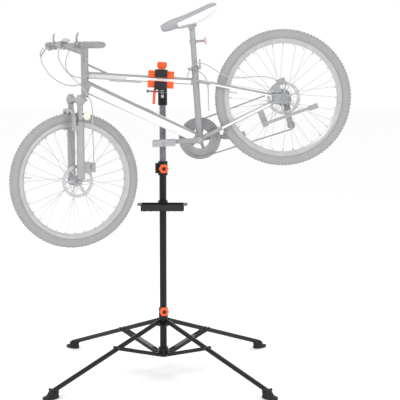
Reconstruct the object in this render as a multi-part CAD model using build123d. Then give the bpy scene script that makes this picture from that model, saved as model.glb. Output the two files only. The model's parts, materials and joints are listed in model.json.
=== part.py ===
from build123d import *
import math
import os

# A folding four-leg repair stand that holds a bicycle by its top tube.
# Millimetres. +Z is up, +X is the bicycle's rear, and the origin is the floor point
# under the stand's mast. The bicycle hangs on the -Y side of the mast.

# ---------------------------------------------------------------- general fits
FIT = 0.05            # radial clearance of a pin or shaft in its hole
GAP = 0.3             # clearance between faces that pass each other
OPEN_GAP = 0.5        # radial clearance of the legs' upper pins in their eyes

# ---------------------------------------------------------------- stand: mast and post
MAST_R = 18.0
MAST_BORE = 16.4
MAST_FOOT_Z = 88.0
MAST_TOP_Z = 1082.0
POST_R = MAST_BORE - FIT
POST_BORE = 14.6
POST_OVERLAP = 350.0  # length of post inside the mast
CLAMP_Z = 1028.0      # lower edge of the post clamp
CLAMP_H = 72.0
CLAMP_R = 24.5
KNOB_R = 24.0
KNOB_DEPTH = 20.0
KNOB_STEM_R = 4.0

# ---------------------------------------------------------------- stand: umbrella linkage
PIVOT_R = 45.0        # hub and collar pins, distance from the mast's axis
LINK = 291.0          # strut length, and collar pin to middle pin on the leg
LINK_SLOPE = 16.0     # degrees above the floor with the legs spread
HUB_PIN_Z = 96.0
HUB_Z = 80.0
HUB_H = 48.0
HUB_R = 26.0
COLLAR_LOW = 12.0     # collar edge below its pins
COLLAR_H = 92.0
COLLAR_R = 24.0
LEG_R = 12.0
LEG_WALL = 1.6
LEG_SKEW = 2.4        # degrees between the leg tube and its line of pins
LEG_RISE = 6.0        # tube centre above the collar pin
FOOT_REACH = 717.0    # collar pin to foot pin along the leg
PIN_R = 4.0
PIN_HEAD_R = 7.0
PIN_HEAD_H = 2.5
STRUT_PLATE = 3.0
STRUT_DEPTH = 18.0
WEB_START = 40.0
WEB_LENGTH = 150.0
SHOE_LENGTH = 105.0
SHOE_BEHIND = 35.0
SHOE_WIDTH = 56.0
SHOE_HEIGHT = 46.0
SHOE_SOLE = 11.0
LEG_AZIMUTHS = [45.0, 135.0, 225.0, 315.0]

# ---------------------------------------------------------------- stand: tray
TRAY_Z = 856.0
TRAY_H = 32.0
TRAY_WIDTH = 218.0
TRAY_FRONT = -121.0
TRAY_BACK = -26.0
TRAY_WALL = 2.5
TRAY_LIP = 18.0

# ---------------------------------------------------------------- stand: head
ARM_Z = 1511.0
ARM_R = 16.0
ARM_BORE = 14.0
ARM_BACK = 78.0
ARM_TILT = 3.4        # degrees, the clamped tube slopes down to the rear by this
SLEEVE_Z = 1386.0
SLEEVE_R = 23.5
TEE_R = 24.0
TEE_HALF = 40.0
JAW_RISE = 12.0       # clamped tube above the arm's axis
BIKE_Y = -280.0
JAW_HALF = 29.5
PAD_HALF = 62.5
PAD_DEPTH = 44.0
PAD_HEIGHT = 33.0
PAD_GAP = 8.5         # pad face beside the tube, from the tube's axis
JAW_HINGE_Y = -178.0
JAW_HINGE_Z = 18.0    # above the clamped tube's axis
STUD_Y = -232.0
STUD_R = 5.0
STUD_SLOT = 11.0      # length of the upper jaw's slot for the stud
NUT_LOW = 48.0        # underside of the clamp nut above the clamped tube's axis
NUT_H = 36.0
LEVER_X = -30.0
LEVER_LENGTH = 62.0
LEVER_PIVOT_Z = -62.0

# ---------------------------------------------------------------- bicycle frame (level frame, origin at the crank axle)
REAR_AXLE = (451.3, 39.5)
SEAT_ANGLE = 72.4
SEAT_TUBE = 356.0
SEAT_TUBE_R = 16.0
SEAT_POST_R = 13.6
SEAT_POST_TOP = 546.0
SEAT_POST_INSERT = 170.0
HEAD_LOW = (-443.5, 398.2)
HEAD_ANGLE = 68.5
HEAD_TUBE = 170.0
HEAD_TUBE_R = 18.5
HEAD_BORE = 16.0
TOP_TUBE_R = 17.0
TOP_TUBE_UP = 105.0   # joint above the head tube's lower end
TOP_TUBE_SEAT = 281.0 # joint along the seat tube
TUBE_WALL = 1.8
DOWN_TUBE_UP = 52.0
DOWN_TUBE_FRONT = (44.0, 62.0)
DOWN_TUBE_BACK = (50.0, 48.0)
BRACE_R = 5.0
BRACE_REACH = 145.0
CLAMP_DIST = 371.0    # head tube to the clamped point along the top tube
SHELL_R = 21.0
SHELL_HALF = 34.0
SHELL_BORE = 17.0
STAY_R = 8.0
DROPOUT_Y = 66.0
DROPOUT_T = 6.0

# ---------------------------------------------------------------- wheels
TYRE_OUTER = 332.5
TYRE_SECTION = 26.5
RIM_INNER = 262.0
RIM_HALF = 13.0
SPOKE_R = 1.0
SPOKES_PER_SIDE = 16
FLANGE_R = 26.0
FLANGE_Y = 30.0
HUB_SHELL_R = 15.0
AXLE_R = 5.0
ROTOR_R = 80.0
ROTOR_T = 2.0
FRONT_ROTOR_Y = -41.0
REAR_ROTOR_Y = -48.0

# ---------------------------------------------------------------- fork and cockpit (steering frame, origin at the head tube's lower end)
STEER_REST = 26.0     # degrees to the rider's left
RAKE = 58.0
AXLE_DROP = 408.6
FORK_LEG_X = -50.0
FORK_LEG_Y = 65.0
STANCHION_R = 14.0
LOWER_R = 19.0
LOWER_TOP = -128.0
STEERER_R = 14.3
STEERER_TOP = 232.0
STEM_Z = 216.0
STEM_REACH = 110.0
STEM_RISE = 32.0
BAR_R = 11.1
BAR_CLAMP_R = 15.9
BAR_HALF = 345.0
BAR_SWEEP = 9.0
BAR_KNEE = 60.0
GRIP_LENGTH = 125.0
GRIP_R = 16.0
LEVER_Y = 178.0

# ---------------------------------------------------------------- drive
CHAIN_Y = 50.0
RING_PITCH_R = 86.0
CHAIN_HALF = 4.0
CHAIN_WIDTH = 7.0
RING_R = 80.0
GUARD_R = 103.5
CRANK = 171.0
CRANK_T = 12.0
CRANK_LEFT_Y = -84.0
CRANK_RIGHT_Y = 72.0
CRANK_REST = 18.5     # degrees, left arm above the forward direction
PEDAL_LENGTH = 108.0
PEDAL_WIDTH = 88.0
PEDAL_HEIGHT = 28.0
PULLEY_R = 15.5
SPROCKET_STEP = 5.4
SPROCKETS = [26.0, 31.5, 37.0, 42.5, 48.0, 53.5]

# ---------------------------------------------------------------- saddle, kickstand
SADDLE_NOSE = (20.0, 566.0)
SADDLE_LENGTH = 294.0
SADDLE_WIDTH = 150.0
SADDLE_TOP = 592.0
STAND_PIVOT = (322.0, -42.0)
STAND_Y = -62.0
STAND_LENGTH = 268.0
STAND_R = 7.5
CABLE_R = 2.5

# ================================================================ places worked out from the sizes


def rad(angle):
    return math.radians(angle)


def along(point, angle, distance):
    return (point[0] + distance * math.cos(rad(angle)), point[1] + distance * math.sin(rad(angle)))


COLLAR_PIN_Z = HUB_PIN_Z + 2 * LINK * math.sin(rad(LINK_SLOPE))
FOOT_DROP = LEG_RISE - FOOT_REACH * math.tan(rad(LEG_SKEW))
FOOT_PIN_R = PIVOT_R + FOOT_REACH * math.cos(rad(LINK_SLOPE)) + FOOT_DROP * math.sin(rad(LINK_SLOPE))
FOOT_PIN_Z = COLLAR_PIN_Z - FOOT_REACH * math.sin(rad(LINK_SLOPE)) + FOOT_DROP * math.cos(rad(LINK_SLOPE))
MID_PIN_R = PIVOT_R + LINK * math.cos(rad(LINK_SLOPE))
MID_PIN_Z = HUB_PIN_Z + LINK * math.sin(rad(LINK_SLOPE))
PLATE_IN = LEG_R + GAP
PLATE_OUT = PLATE_IN + STRUT_PLATE

HEAD_TOP = along(HEAD_LOW, HEAD_ANGLE, HEAD_TUBE)
SEAT_TOP = along((0, 0), SEAT_ANGLE, SEAT_TUBE)
TT_FRONT = along(HEAD_LOW, HEAD_ANGLE, TOP_TUBE_UP)
TT_REAR = along((0, 0), SEAT_ANGLE, TOP_TUBE_SEAT)
DT_FRONT = along(HEAD_LOW, HEAD_ANGLE, DOWN_TUBE_UP)
TT_DROP = math.degrees(math.atan2(TT_FRONT[1] - TT_REAR[1], TT_REAR[0] - TT_FRONT[0]))
CLAMPED = along(TT_FRONT, -TT_DROP, CLAMP_DIST)
FORK_AXLE = (-RAKE, -AXLE_DROP)

# The clamp head, the bicycle and its steered front end each have their own frame
HEAD = Location((0, 0, ARM_Z), (0, ARM_TILT, 0))
JAW = HEAD * Location((0, BIKE_Y, JAW_RISE))
BIKE = JAW * Location((0, 0, 0), (0, -TT_DROP, 0)) * Location((-CLAMPED[0], 0, -CLAMPED[1]))
STEER_AXIS = BIKE * Location((HEAD_LOW[0], 0, HEAD_LOW[1]), (0, 90 - HEAD_ANGLE, 0))
FORK = STEER_AXIS * Location((0, 0, 0), (0, 0, STEER_REST))
CRANK_FRAME = BIKE * Location((0, 0, 0), (0, CRANK_REST, 0))

# ================================================================ shared shapes


def rod(start, end, radius, bore=0.0):
    first = Vector(*start)
    axis = Vector(*end) - first
    plane = Plane(origin=first, z_dir=axis)
    body = extrude(plane * Circle(radius), axis.length)
    if bore:
        body -= extrude(plane * Circle(bore), axis.length)
    return body


def cone(start, end, radius_start, radius_end):
    first = Vector(*start)
    last = Vector(*end)
    axis = last - first
    return loft([Plane(origin=first, z_dir=axis) * Circle(radius_start),
                 Plane(origin=last, z_dir=axis) * Circle(radius_end)])


def box(low, high):
    size = [h - l for l, h in zip(low, high)]
    middle = [(l + h) / 2 for l, h in zip(low, high)]
    return Pos(*middle) * Box(*size)


def side_plate(sketch, y_low, y_high):
    """Extrude an outline drawn in the X-Z plane between two Y values."""
    return extrude(Plane.XZ.offset(-y_high) * sketch, y_high - y_low)


def outline(*points):
    return make_face(Polyline(*points, close=True))


def link_outline(first, last, radius_first, radius_last):
    return make_hull((Pos(*first) * Circle(radius_first)).edges() + (Pos(*last) * Circle(radius_last)).edges())


def bent_tube(points, radii, radius):
    path = FilletPolyline(*points, radius=radii)
    return sweep(Plane(origin=path @ 0, z_dir=path % 0) * Circle(radius), path=path)


def group(*shapes):
    return Compound([solid for shape in shapes for solid in shape.solids()])


def star_knob(radius, depth):
    disc = extrude(Circle(radius), depth)
    for turn in range(6):
        disc -= Rot(0, 0, 60 * turn + 30) * Pos(radius * 1.13, 0, depth / 2) * Cylinder(radius * 0.28, depth * 2)
    return disc


def screw_knob(origin, direction, stem):
    """A star knob on a threaded stem, standing out along a direction."""
    place = Plane(origin=origin, z_dir=direction).location
    stem_rod = extrude(Circle(KNOB_STEM_R), stem + 2)
    boss = Pos(0, 0, stem) * extrude(Circle(KNOB_R * 0.55), 6)
    head = Pos(0, 0, stem + 6) * star_knob(KNOB_R, KNOB_DEPTH)
    return place * (stem_rod + boss + head)


# ================================================================ stand


def mast_tube():
    return rod((0, 0, MAST_FOOT_Z), (0, 0, MAST_TOP_Z), MAST_R, MAST_BORE)


def pin(x, z, half, heads=True):
    body = rod((x, -half, z), (x, half, z), PIN_R)
    if heads:
        body += rod((x, half, z), (x, half + PIN_HEAD_H, z), PIN_HEAD_R)
        body += rod((x, -half - PIN_HEAD_H, z), (x, -half, z), PIN_HEAD_R)
    return body


def base_hub():
    hub = rod((0, 0, HUB_Z), (0, 0, HUB_Z + HUB_H), HUB_R)
    for azimuth in LEG_AZIMUTHS:
        lug = box((0, -LEG_R, HUB_PIN_Z - 9), (PIVOT_R, LEG_R, HUB_PIN_Z + 9))
        lug += rod((PIVOT_R, -LEG_R, HUB_PIN_Z), (PIVOT_R, LEG_R, HUB_PIN_Z), 9)
        lug += pin(PIVOT_R, HUB_PIN_Z, PLATE_OUT + GAP)
        hub += Rot(0, 0, azimuth) * lug
    return hub - rod((0, 0, MAST_FOOT_Z), (0, 0, HUB_Z + HUB_H + 1), MAST_R)


def strut():
    hole = PIN_R + FIT
    slot = Pos(LINK / 2, 0) * SlotCenterToCenter(LINK, STRUT_DEPTH)
    slot -= Circle(hole)
    slot -= Pos(LINK, 0) * Circle(hole)
    body = side_plate(slot, PLATE_IN, PLATE_OUT) + side_plate(slot, -PLATE_OUT, -PLATE_IN)
    web_top = STRUT_DEPTH / 2
    body += box((WEB_START, -PLATE_OUT, web_top - STRUT_PLATE), (WEB_START + WEB_LENGTH, PLATE_OUT, web_top))
    return Location((PIVOT_R, 0, HUB_PIN_Z), (0, -LINK_SLOPE, 0)) * body


def leg():
    slope = math.tan(rad(LEG_SKEW))
    first = (-LEG_R, 0, LEG_RISE + LEG_R * slope)
    last_x = FOOT_REACH + LEG_R
    last = (last_x, 0, LEG_RISE - last_x * slope)
    tube = rod(first, last, LEG_R, LEG_R - LEG_WALL)
    tube -= rod((0, -LEG_R - 1, 0), (0, LEG_R + 1, 0), PIN_R + OPEN_GAP)
    tube += pin(LINK, 0, PLATE_OUT + GAP)
    tube += pin(FOOT_REACH, FOOT_DROP, SHOE_WIDTH / 2 + GAP)
    return Location((PIVOT_R, 0, COLLAR_PIN_Z), (0, LINK_SLOPE, 0)) * tube


def foot():
    back = FOOT_PIN_R - SHOE_BEHIND
    front = back + SHOE_LENGTH
    profile = outline((back, 0), (front, 0), (front, 16), (front - 26, SHOE_HEIGHT - 6),
                      (front - 40, SHOE_HEIGHT), (back + 14, SHOE_HEIGHT), (back, SHOE_HEIGHT - 16))
    shoe = side_plate(profile, -SHOE_WIDTH / 2, SHOE_WIDTH / 2)
    slot_end = FOOT_PIN_R + LEG_R + 8
    shoe -= box((back - 1, -PLATE_IN, SHOE_SOLE), (slot_end, PLATE_IN, SHOE_HEIGHT + 1))
    shoe -= rod((FOOT_PIN_R, -SHOE_WIDTH, FOOT_PIN_Z), (FOOT_PIN_R, SHOE_WIDTH, FOOT_PIN_Z), PIN_R + FIT)
    return shoe


def leg_collar():
    low = COLLAR_PIN_Z - COLLAR_LOW
    collar = rod((0, 0, low), (0, 0, low + COLLAR_H), COLLAR_R)
    ear_out = PLATE_IN + 4
    for azimuth in LEG_AZIMUTHS:
        ears = Part()
        for side in (1, -1):
            y_low, y_high = sorted((side * PLATE_IN, side * ear_out))
            ears += box((0, y_low, COLLAR_PIN_Z - 10), (PIVOT_R, y_high, COLLAR_PIN_Z + 14))
            ears += rod((PIVOT_R, y_low, COLLAR_PIN_Z), (PIVOT_R, y_high, COLLAR_PIN_Z), 10)
        ears += rod((PIVOT_R, -ear_out - 2, COLLAR_PIN_Z), (PIVOT_R, ear_out + 2, COLLAR_PIN_Z), PIN_R)
        collar += Rot(0, 0, azimuth) * ears
    collar -= rod((0, 0, low - 1), (0, 0, low + COLLAR_H + 1), MAST_R + GAP)
    collar -= rod((0, 0, COLLAR_KNOB_Z), KNOB_OUT_COLLAR, KNOB_STEM_R + FIT)
    return collar


KNOB_DIRECTION = Vector(math.sin(rad(8)), -math.cos(rad(8)), 0)
COLLAR_KNOB_Z = COLLAR_PIN_Z + 66
KNOB_OUT_COLLAR = tuple(KNOB_DIRECTION * 60 + Vector(0, 0, COLLAR_KNOB_Z))
POST_KNOB_Z = CLAMP_Z + CLAMP_H / 2


def collar_knob():
    start = KNOB_DIRECTION * (MAST_R + GAP) + Vector(0, 0, COLLAR_KNOB_Z)
    return screw_knob(start, KNOB_DIRECTION, COLLAR_R - MAST_R + 1)


def post_knob():
    start = KNOB_DIRECTION * (MAST_R + GAP) + Vector(0, 0, POST_KNOB_Z)
    return screw_knob(start, KNOB_DIRECTION, CLAMP_R - MAST_R + 1)


def post_clamp():
    clamp = rod((0, 0, CLAMP_Z), (0, 0, CLAMP_Z + CLAMP_H), CLAMP_R)
    ear_z = CLAMP_Z + CLAMP_H / 2
    clamp += box((-CLAMP_R - 14, -9, ear_z - 26), (-CLAMP_R + 6, 9, ear_z + 26))
    clamp -= box((-CLAMP_R - 15, -1.2, CLAMP_Z - 1), (-MAST_R + 1, 1.2, CLAMP_Z + CLAMP_H + 1))
    for offset in (-15, 15):
        x = -CLAMP_R - 6
        bolt_z = ear_z + offset
        clamp += rod((x, -13, bolt_z), (x, 13, bolt_z), 5)
    clamp -= rod((0, 0, CLAMP_Z - 1), (0, 0, MAST_TOP_Z), MAST_R)
    clamp -= rod((0, 0, MAST_TOP_Z), (0, 0, CLAMP_Z + CLAMP_H + 1), POST_R + GAP)
    hole_end = tuple(KNOB_DIRECTION * 60 + Vector(0, 0, POST_KNOB_Z))
    return clamp - rod((0, 0, POST_KNOB_Z), hole_end, KNOB_STEM_R + FIT)


def tool_tray():
    half = TRAY_WIDTH / 2
    top = TRAY_Z + TRAY_H
    tray = box((-half, TRAY_FRONT, TRAY_Z), (half, TRAY_BACK, top))
    tray -= box((-half + TRAY_WALL, TRAY_FRONT + TRAY_WALL, TRAY_Z + TRAY_WALL),
                (half - TRAY_WALL, TRAY_BACK - TRAY_WALL, top + 1))
    for side in (1, -1):
        x_low, x_high = sorted((side * half, side * (half + TRAY_LIP)))
        lip = box((x_low, TRAY_FRONT, top - 3), (x_high, TRAY_BACK, top))
        for y in (TRAY_FRONT + 24, TRAY_BACK - 24):
            lip -= rod((side * (half + 9), y, top - 10), (side * (half + 9), y, top + 1), 6)
        tray += lip
    tray += rod((0, 0, TRAY_Z - 4), (0, 0, top + 10), CLAMP_R)
    tray += box((-30, TRAY_BACK - TRAY_WALL, TRAY_Z), (30, -10, top))
    return tray - rod((0, 0, TRAY_Z - 5), (0, 0, top + 11), MAST_R + GAP)


def post_tube():
    return rod((0, 0, MAST_TOP_Z - POST_OVERLAP), (0, 0, ARM_Z - TEE_R), POST_R, POST_BORE)


def head_tee():
    tee = rod((0, 0, SLEEVE_Z), (0, 0, ARM_Z), SLEEVE_R)
    tee += rod((0, -TEE_HALF, ARM_Z), (0, TEE_HALF, ARM_Z), TEE_R)
    tee += box((-TEE_R, -TEE_HALF, ARM_Z - TEE_R), (TEE_R, TEE_HALF, ARM_Z))
    tee -= rod((0, 0, SLEEVE_Z - 1), (0, 0, ARM_Z - TEE_R + 2), POST_R + FIT)
    tee -= rod((0, -TEE_HALF - 1, ARM_Z), (0, TEE_HALF + 1, ARM_Z), ARM_R + FIT)
    return tee - rod((0, 0, ARM_Z), (60, 0, ARM_Z), KNOB_STEM_R + FIT)


def head_knob():
    return screw_knob((ARM_R + GAP, 0, ARM_Z), (1, 0, 0), TEE_R - ARM_R + 1)


# ---------------------------------------------------------------- clamp head


def clamp_arm():
    tube = rod((0, JAW_HINGE_Y - 4, 0), (0, ARM_BACK, 0), ARM_R, ARM_BORE)
    cap = rod((0, ARM_BACK, 0), (0, ARM_BACK + 6, 0), ARM_R)
    return HEAD * (tube + cap)


def pad_block(side):
    low, high = sorted((side * PAD_GAP, side * (PAD_GAP + PAD_HEIGHT)))
    pad = box((-PAD_HALF, -PAD_DEPTH / 2, low), (PAD_HALF, PAD_DEPTH / 2, high))
    return pad - rod((-PAD_HALF - 1, 0, 0), (PAD_HALF + 1, 0, 0), TOP_TUBE_R + GAP)


def jaw_y(y):
    """A Y place in the clamp's own frame, whose origin is on the clamped tube."""
    return y - BIKE_Y


def across(points, half):
    """Extrude a Y-Z outline over both sides of the clamp's middle."""
    return extrude(Plane.YZ.offset(-half) * outline(*points), 2 * half)


HINGE = (jaw_y(JAW_HINGE_Y), JAW_HINGE_Z)
EAR_IN = 19.5


def jaw_lower():
    tip = -PAD_DEPTH / 2 - 12
    back = jaw_y(JAW_HINGE_Y) + 14
    stud = jaw_y(STUD_Y)
    under = -PAD_GAP - PAD_HEIGHT - 9
    body = across([(tip, -16), (PAD_DEPTH / 2 + 5, -16), (stud + 14, 2), (back, 2),
                   (back, -JAW_RISE - 20), (stud + 10, under), (tip + 8, under), (tip, under + 8)], JAW_HALF)
    body += rod((-EAR_IN, HINGE[0], HINGE[1]), (EAR_IN, HINGE[0], HINGE[1]), 11)
    body += box((-EAR_IN, HINGE[0] - 11, 0), (EAR_IN, HINGE[0] + 11, HINGE[1]))
    body += rod((-JAW_HALF, HINGE[0], HINGE[1]), (JAW_HALF, HINGE[0], HINGE[1]), PIN_R)
    body += rod((0, HINGE[0] - 6, -JAW_RISE), (0, back + 6, -JAW_RISE), ARM_R + 5)
    body -= rod((0, jaw_y(JAW_HINGE_Y - 4), -JAW_RISE), (0, back + 20, -JAW_RISE), ARM_R)
    body -= rod((0, stud, -90), (0, stud, 20), STUD_R)
    body -= rod((-PAD_HALF, 0, 0), (PAD_HALF, 0, 0), TOP_TUBE_R + 1.5)
    return JAW * (body - pad_block(-1))


def jaw_upper():
    tip = -PAD_DEPTH / 2 - 10
    stud = jaw_y(STUD_Y)
    top = PAD_GAP + PAD_HEIGHT + 6
    body = across([(tip, 22), (PAD_DEPTH / 2 + 4, 22), (stud + 12, 12), (stud + 14, top), (tip, top)], JAW_HALF)
    ear = outline((stud + 4, 12), (stud + 14, top), (HINGE[0], HINGE[1] + 11), (HINGE[0], HINGE[1] - 9))
    for side in (1, -1):
        x_low, x_high = sorted((side * (EAR_IN + GAP), side * JAW_HALF))
        plate = extrude(Plane.YZ.offset(x_low) * ear, x_high - x_low)
        plate += rod((x_low, HINGE[0], HINGE[1]), (x_high, HINGE[0], HINGE[1]), 11)
        body += plate
    body -= rod((-JAW_HALF - 1, HINGE[0], HINGE[1]), (JAW_HALF + 1, HINGE[0], HINGE[1]), PIN_R + FIT)
    # the stud's hole is a slot, because the jaw swings back over the stud as it opens
    body -= rod((0, stud, 0), (0, stud, 60), STUD_R + 4)
    body -= rod((0, stud - STUD_SLOT, 0), (0, stud - STUD_SLOT, 60), STUD_R + 4)
    body -= box((-STUD_R - 4, stud - STUD_SLOT, 0), (STUD_R + 4, stud, 60))
    return JAW * (body - pad_block(1))


def jaw_pad_lower():
    return JAW * pad_block(-1)


def jaw_pad_upper():
    return JAW * pad_block(1)


def clamp_stud():
    stud = jaw_y(STUD_Y)
    body = rod((0, stud, LEVER_PIVOT_Z), (0, stud, NUT_LOW + NUT_H - 6), STUD_R)
    body += rod((-LEVER_X - 2, stud, LEVER_PIVOT_Z), (LEVER_X - 30, stud, LEVER_PIVOT_Z), PIN_R)
    body += rod((LEVER_X - 38, stud, LEVER_PIVOT_Z), (LEVER_X - 30, stud, LEVER_PIVOT_Z), 8)
    return JAW * body


def clamp_nut():
    stud = jaw_y(STUD_Y)
    body = rod((0, stud, NUT_LOW), (0, stud, NUT_LOW + 8), 10)
    body += box((-23.5, stud - 11, NUT_LOW + 8), (23.5, stud + 11, NUT_LOW + NUT_H))
    return JAW * (body - rod((0, stud, NUT_LOW - 1), (0, stud, NUT_LOW + NUT_H - 5), STUD_R + FIT))


def cam_lever():
    stud = jaw_y(STUD_Y)
    body = rod((LEVER_X - 7, stud, LEVER_PIVOT_Z), (LEVER_X + 7, stud, LEVER_PIVOT_Z), 10)
    body += box((LEVER_X - 6, stud - 5, LEVER_PIVOT_Z - LEVER_LENGTH), (LEVER_X + 6, stud + 5, LEVER_PIVOT_Z))
    return JAW * (body - rod((LEVER_X - 8, stud, LEVER_PIVOT_Z), (LEVER_X + 8, stud, LEVER_PIVOT_Z), PIN_R + FIT))


# ================================================================ bicycle frame


def at(point, y=0.0):
    return (point[0], y, point[1])


def oval_tube(start, end, size_start, size_end):
    first = Vector(*at(start))
    last = Vector(*at(end))
    axis = last - first
    ends = []
    for origin, size in ((first, size_start), (last, size_end)):
        plane = Plane(origin=origin, x_dir=(0, 1, 0), z_dir=axis)
        ends.append(plane * Ellipse(size[0] / 2, size[1] / 2))
    return loft(ends)


def frame_outside():
    body = rod(at(HEAD_LOW), at(HEAD_TOP), HEAD_TUBE_R)
    body += rod(at(TT_FRONT), at(TT_REAR), TOP_TUBE_R)
    body += rod((0, 0, 0), at(SEAT_TOP), SEAT_TUBE_R)
    body += rod((0, -SHELL_HALF, 0), (0, SHELL_HALF, 0), SHELL_R)
    body += oval_tube(DT_FRONT, (0, 0), DOWN_TUBE_FRONT, DOWN_TUBE_BACK)
    brace_top = along(HEAD_LOW, HEAD_ANGLE, HEAD_TUBE - 9)
    brace_end = along(TT_FRONT, -TT_DROP, BRACE_REACH)
    return body + rod(at(brace_top), at(brace_end), BRACE_R)


def frame_front():
    wall = 2 * TUBE_WALL
    inside = rod(at(TT_FRONT), at(TT_REAR), TOP_TUBE_R - TUBE_WALL)
    inside += oval_tube(DT_FRONT, (0, 0), [s - wall for s in DOWN_TUBE_FRONT], [s - wall for s in DOWN_TUBE_BACK])
    core = rod(at(HEAD_LOW), at(HEAD_TOP), HEAD_TUBE_R)
    core += rod((0, 0, 0), at(SEAT_TOP), SEAT_TUBE_R)
    core += rod((0, -SHELL_HALF, 0), (0, SHELL_HALF, 0), SHELL_R)
    bores = rod(at(along(HEAD_LOW, HEAD_ANGLE, -1)), at(along(HEAD_TOP, HEAD_ANGLE, 1)), HEAD_BORE)
    bores += rod((0, 0, 0), at(along((0, 0), SEAT_ANGLE, SEAT_TUBE + 1)), SEAT_POST_R + FIT)
    bores += rod((0, -SHELL_HALF - 1, 0), (0, SHELL_HALF + 1, 0), SHELL_BORE)
    return BIKE * (frame_outside() - (inside - core) - bores)


def kickstand_bracket():
    x, z = STAND_PIVOT
    body = box((x - 14, STAND_Y - 6, z - 14), (x + 16, STAND_Y + 8, z + 72))
    return body + rod((x, STAND_Y - 26, z), (x, STAND_Y - 6, z), 6)


def stay(points, radius):
    return bent_tube(points, [60.0], radius)


def frame_rear():
    ax, az = REAR_AXLE
    body = Part()
    for side in (1, -1):
        seat_start = along((0, 0), SEAT_ANGLE, TOP_TUBE_SEAT + 4)
        knee = (seat_start[0] + 62, seat_start[1] - 38)
        body += stay([(seat_start[0], side * 12, seat_start[1]), (knee[0], side * 41, knee[1]),
                      (ax - 34, side * 66, az + 24)], STAY_R)
        body += stay([(8, side * 25, 2), (112, side * 39, 11), (ax - 40, side * 62, az - 2)], STAY_R)
        y_low, y_high = sorted((side * (DROPOUT_Y - DROPOUT_T / 2), side * (DROPOUT_Y + DROPOUT_T / 2)))
        plate = outline((ax - 52, az - 12), (ax - 44, az + 38), (ax - 20, az + 30), (ax + 16, az + 12),
                        (ax + 16, az - 18), (ax + 6, az - 34), (ax - 12, az - 22))
        body += side_plate(plate, y_low, y_high)
    body += kickstand_bracket()
    body += rod((ax, -DROPOUT_Y - 12, az), (ax, DROPOUT_Y + 12, az), AXLE_R)
    for side in (1, -1):
        nut_in = side * (DROPOUT_Y + DROPOUT_T / 2)
        body += rod((ax, nut_in, az), (ax, side * (DROPOUT_Y + 14), az), 9)
    body += rod((112, -39, 11), (112, 39, 11), 7) - rod((ax, -40, az), (ax, 40, az), TYRE_OUTER + 4)
    front = frame_outside() + rod((0, 0, 0), at(SEAT_TOP), SEAT_TUBE_R)
    front += rod((0, -SHELL_HALF, 0), (0, SHELL_HALF, 0), SHELL_R)
    return BIKE * (body - front)


def seat_collar():
    top = SEAT_TUBE
    place = Location((0, 0, 0), (0, 90 - SEAT_ANGLE, 0))
    ring = rod((0, 0, top - 22), (0, 0, top), SEAT_TUBE_R + 4) - rod((0, 0, top - 23), (0, 0, top + 1), SEAT_TUBE_R)
    ring += box((-8, -SEAT_TUBE_R - 14, top - 19), (8, -SEAT_TUBE_R - 1, top - 3))
    ring -= box((-1, -SEAT_TUBE_R - 15, top - 23), (1, -SEAT_TUBE_R + 2, top + 1))
    ring -= rod((0, 0, top - 24), (0, 0, top + 1), SEAT_TUBE_R)
    skewer_y = -SEAT_TUBE_R - 9
    ring += rod((-26, skewer_y, top - 11), (22, skewer_y, top - 11), 3)
    ring += rod((-34, skewer_y, top - 11), (-24, skewer_y, top - 11), 6)
    ring += rod((20, skewer_y, top - 11), (30, skewer_y, top - 11), 6)
    ring += box((22, skewer_y - 4, top - 17), (30, skewer_y + 4, top + 32))
    return BIKE * place * ring


def seat_post():
    place = Location((0, 0, 0), (0, 90 - SEAT_ANGLE, 0))
    post = rod((0, 0, SEAT_TUBE - SEAT_POST_INSERT), (0, 0, SEAT_POST_TOP), SEAT_POST_R, SEAT_POST_R - 2)
    post = place * post
    x, z = along((0, 0), SEAT_ANGLE, SEAT_POST_TOP)
    post += box((x - 20, -22, z - 8), (x + 24, 22, z + 6))
    for side in (1, -1):
        rail_z = z + 10
        rail = bent_tube([(x - 88, side * 10, z + 26), (x - 40, side * 20, rail_z), (x + 46, side * 22, rail_z),
                          (x + 110, side * 40, z + 26)], [30.0, 30.0], 3.5)
        post += rail
    post += box((x - 16, -26, z + 5), (x + 20, 26, z + 15))
    return BIKE * post


def saddle():
    nose_x, nose_z = SADDLE_NOSE
    stations = [(0.0, 24, 20, -4), (0.06, 40, 36, -2), (0.35, 54, 42, 0), (0.62, 96, 44, 0), (0.85, SADDLE_WIDTH, 46, 2),
                (0.97, SADDLE_WIDTH - 14, 40, 4), (1.0, SADDLE_WIDTH - 60, 22, 2)]
    sections = []
    for share, width, height, lift in stations:
        x = nose_x + share * SADDLE_LENGTH
        plane = Plane(origin=(x, 0, SADDLE_TOP - height / 2 + lift - 4), x_dir=(0, 1, 0), z_dir=(1, 0, 0))
        sections.append(plane * Ellipse(width / 2, height / 2))
    body = loft(sections)
    post_x, post_z = along((0, 0), SEAT_ANGLE, SEAT_POST_TOP)
    below = box((nose_x - 10, -90, post_z - 60), (nose_x + SADDLE_LENGTH + 10, 90, post_z + 32))
    return BIKE * (body - below)


# ================================================================ wheels


def rim_outline():
    inner = RIM_INNER
    return outline((inner, -7), (inner, 7), (inner + 10, RIM_HALF), (inner + 25, RIM_HALF),
                   (inner + 25, -RIM_HALF), (inner + 10, -RIM_HALF))


def ring_about_axle(sketch):
    """Turn an outline of (radius, width) about the wheel's axle, which lies along Y."""
    return revolve(sketch, axis=Axis.Y, revolution_arc=360)


def rim():
    inner = RIM_INNER
    section = rim_outline()
    section -= outline((inner + 15, -11), (inner + 15, 11), (inner + 26, 11), (inner + 26, -11))
    section -= outline((inner + 3, -5), (inner + 3, 5), (inner + 9, 9), (inner + 12, 9), (inner + 12, -9), (inner + 9, -9))
    return ring_about_axle(section)


def tyre():
    middle = TYRE_OUTER - TYRE_SECTION
    section = Pos(middle, 0) * Circle(TYRE_SECTION) - Pos(middle, 0) * Circle(TYRE_SECTION - 3.2)
    section -= rim_outline()
    section -= Pos(RIM_INNER + 20, 0) * Rectangle(30, 12)
    return ring_about_axle(section)


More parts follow.
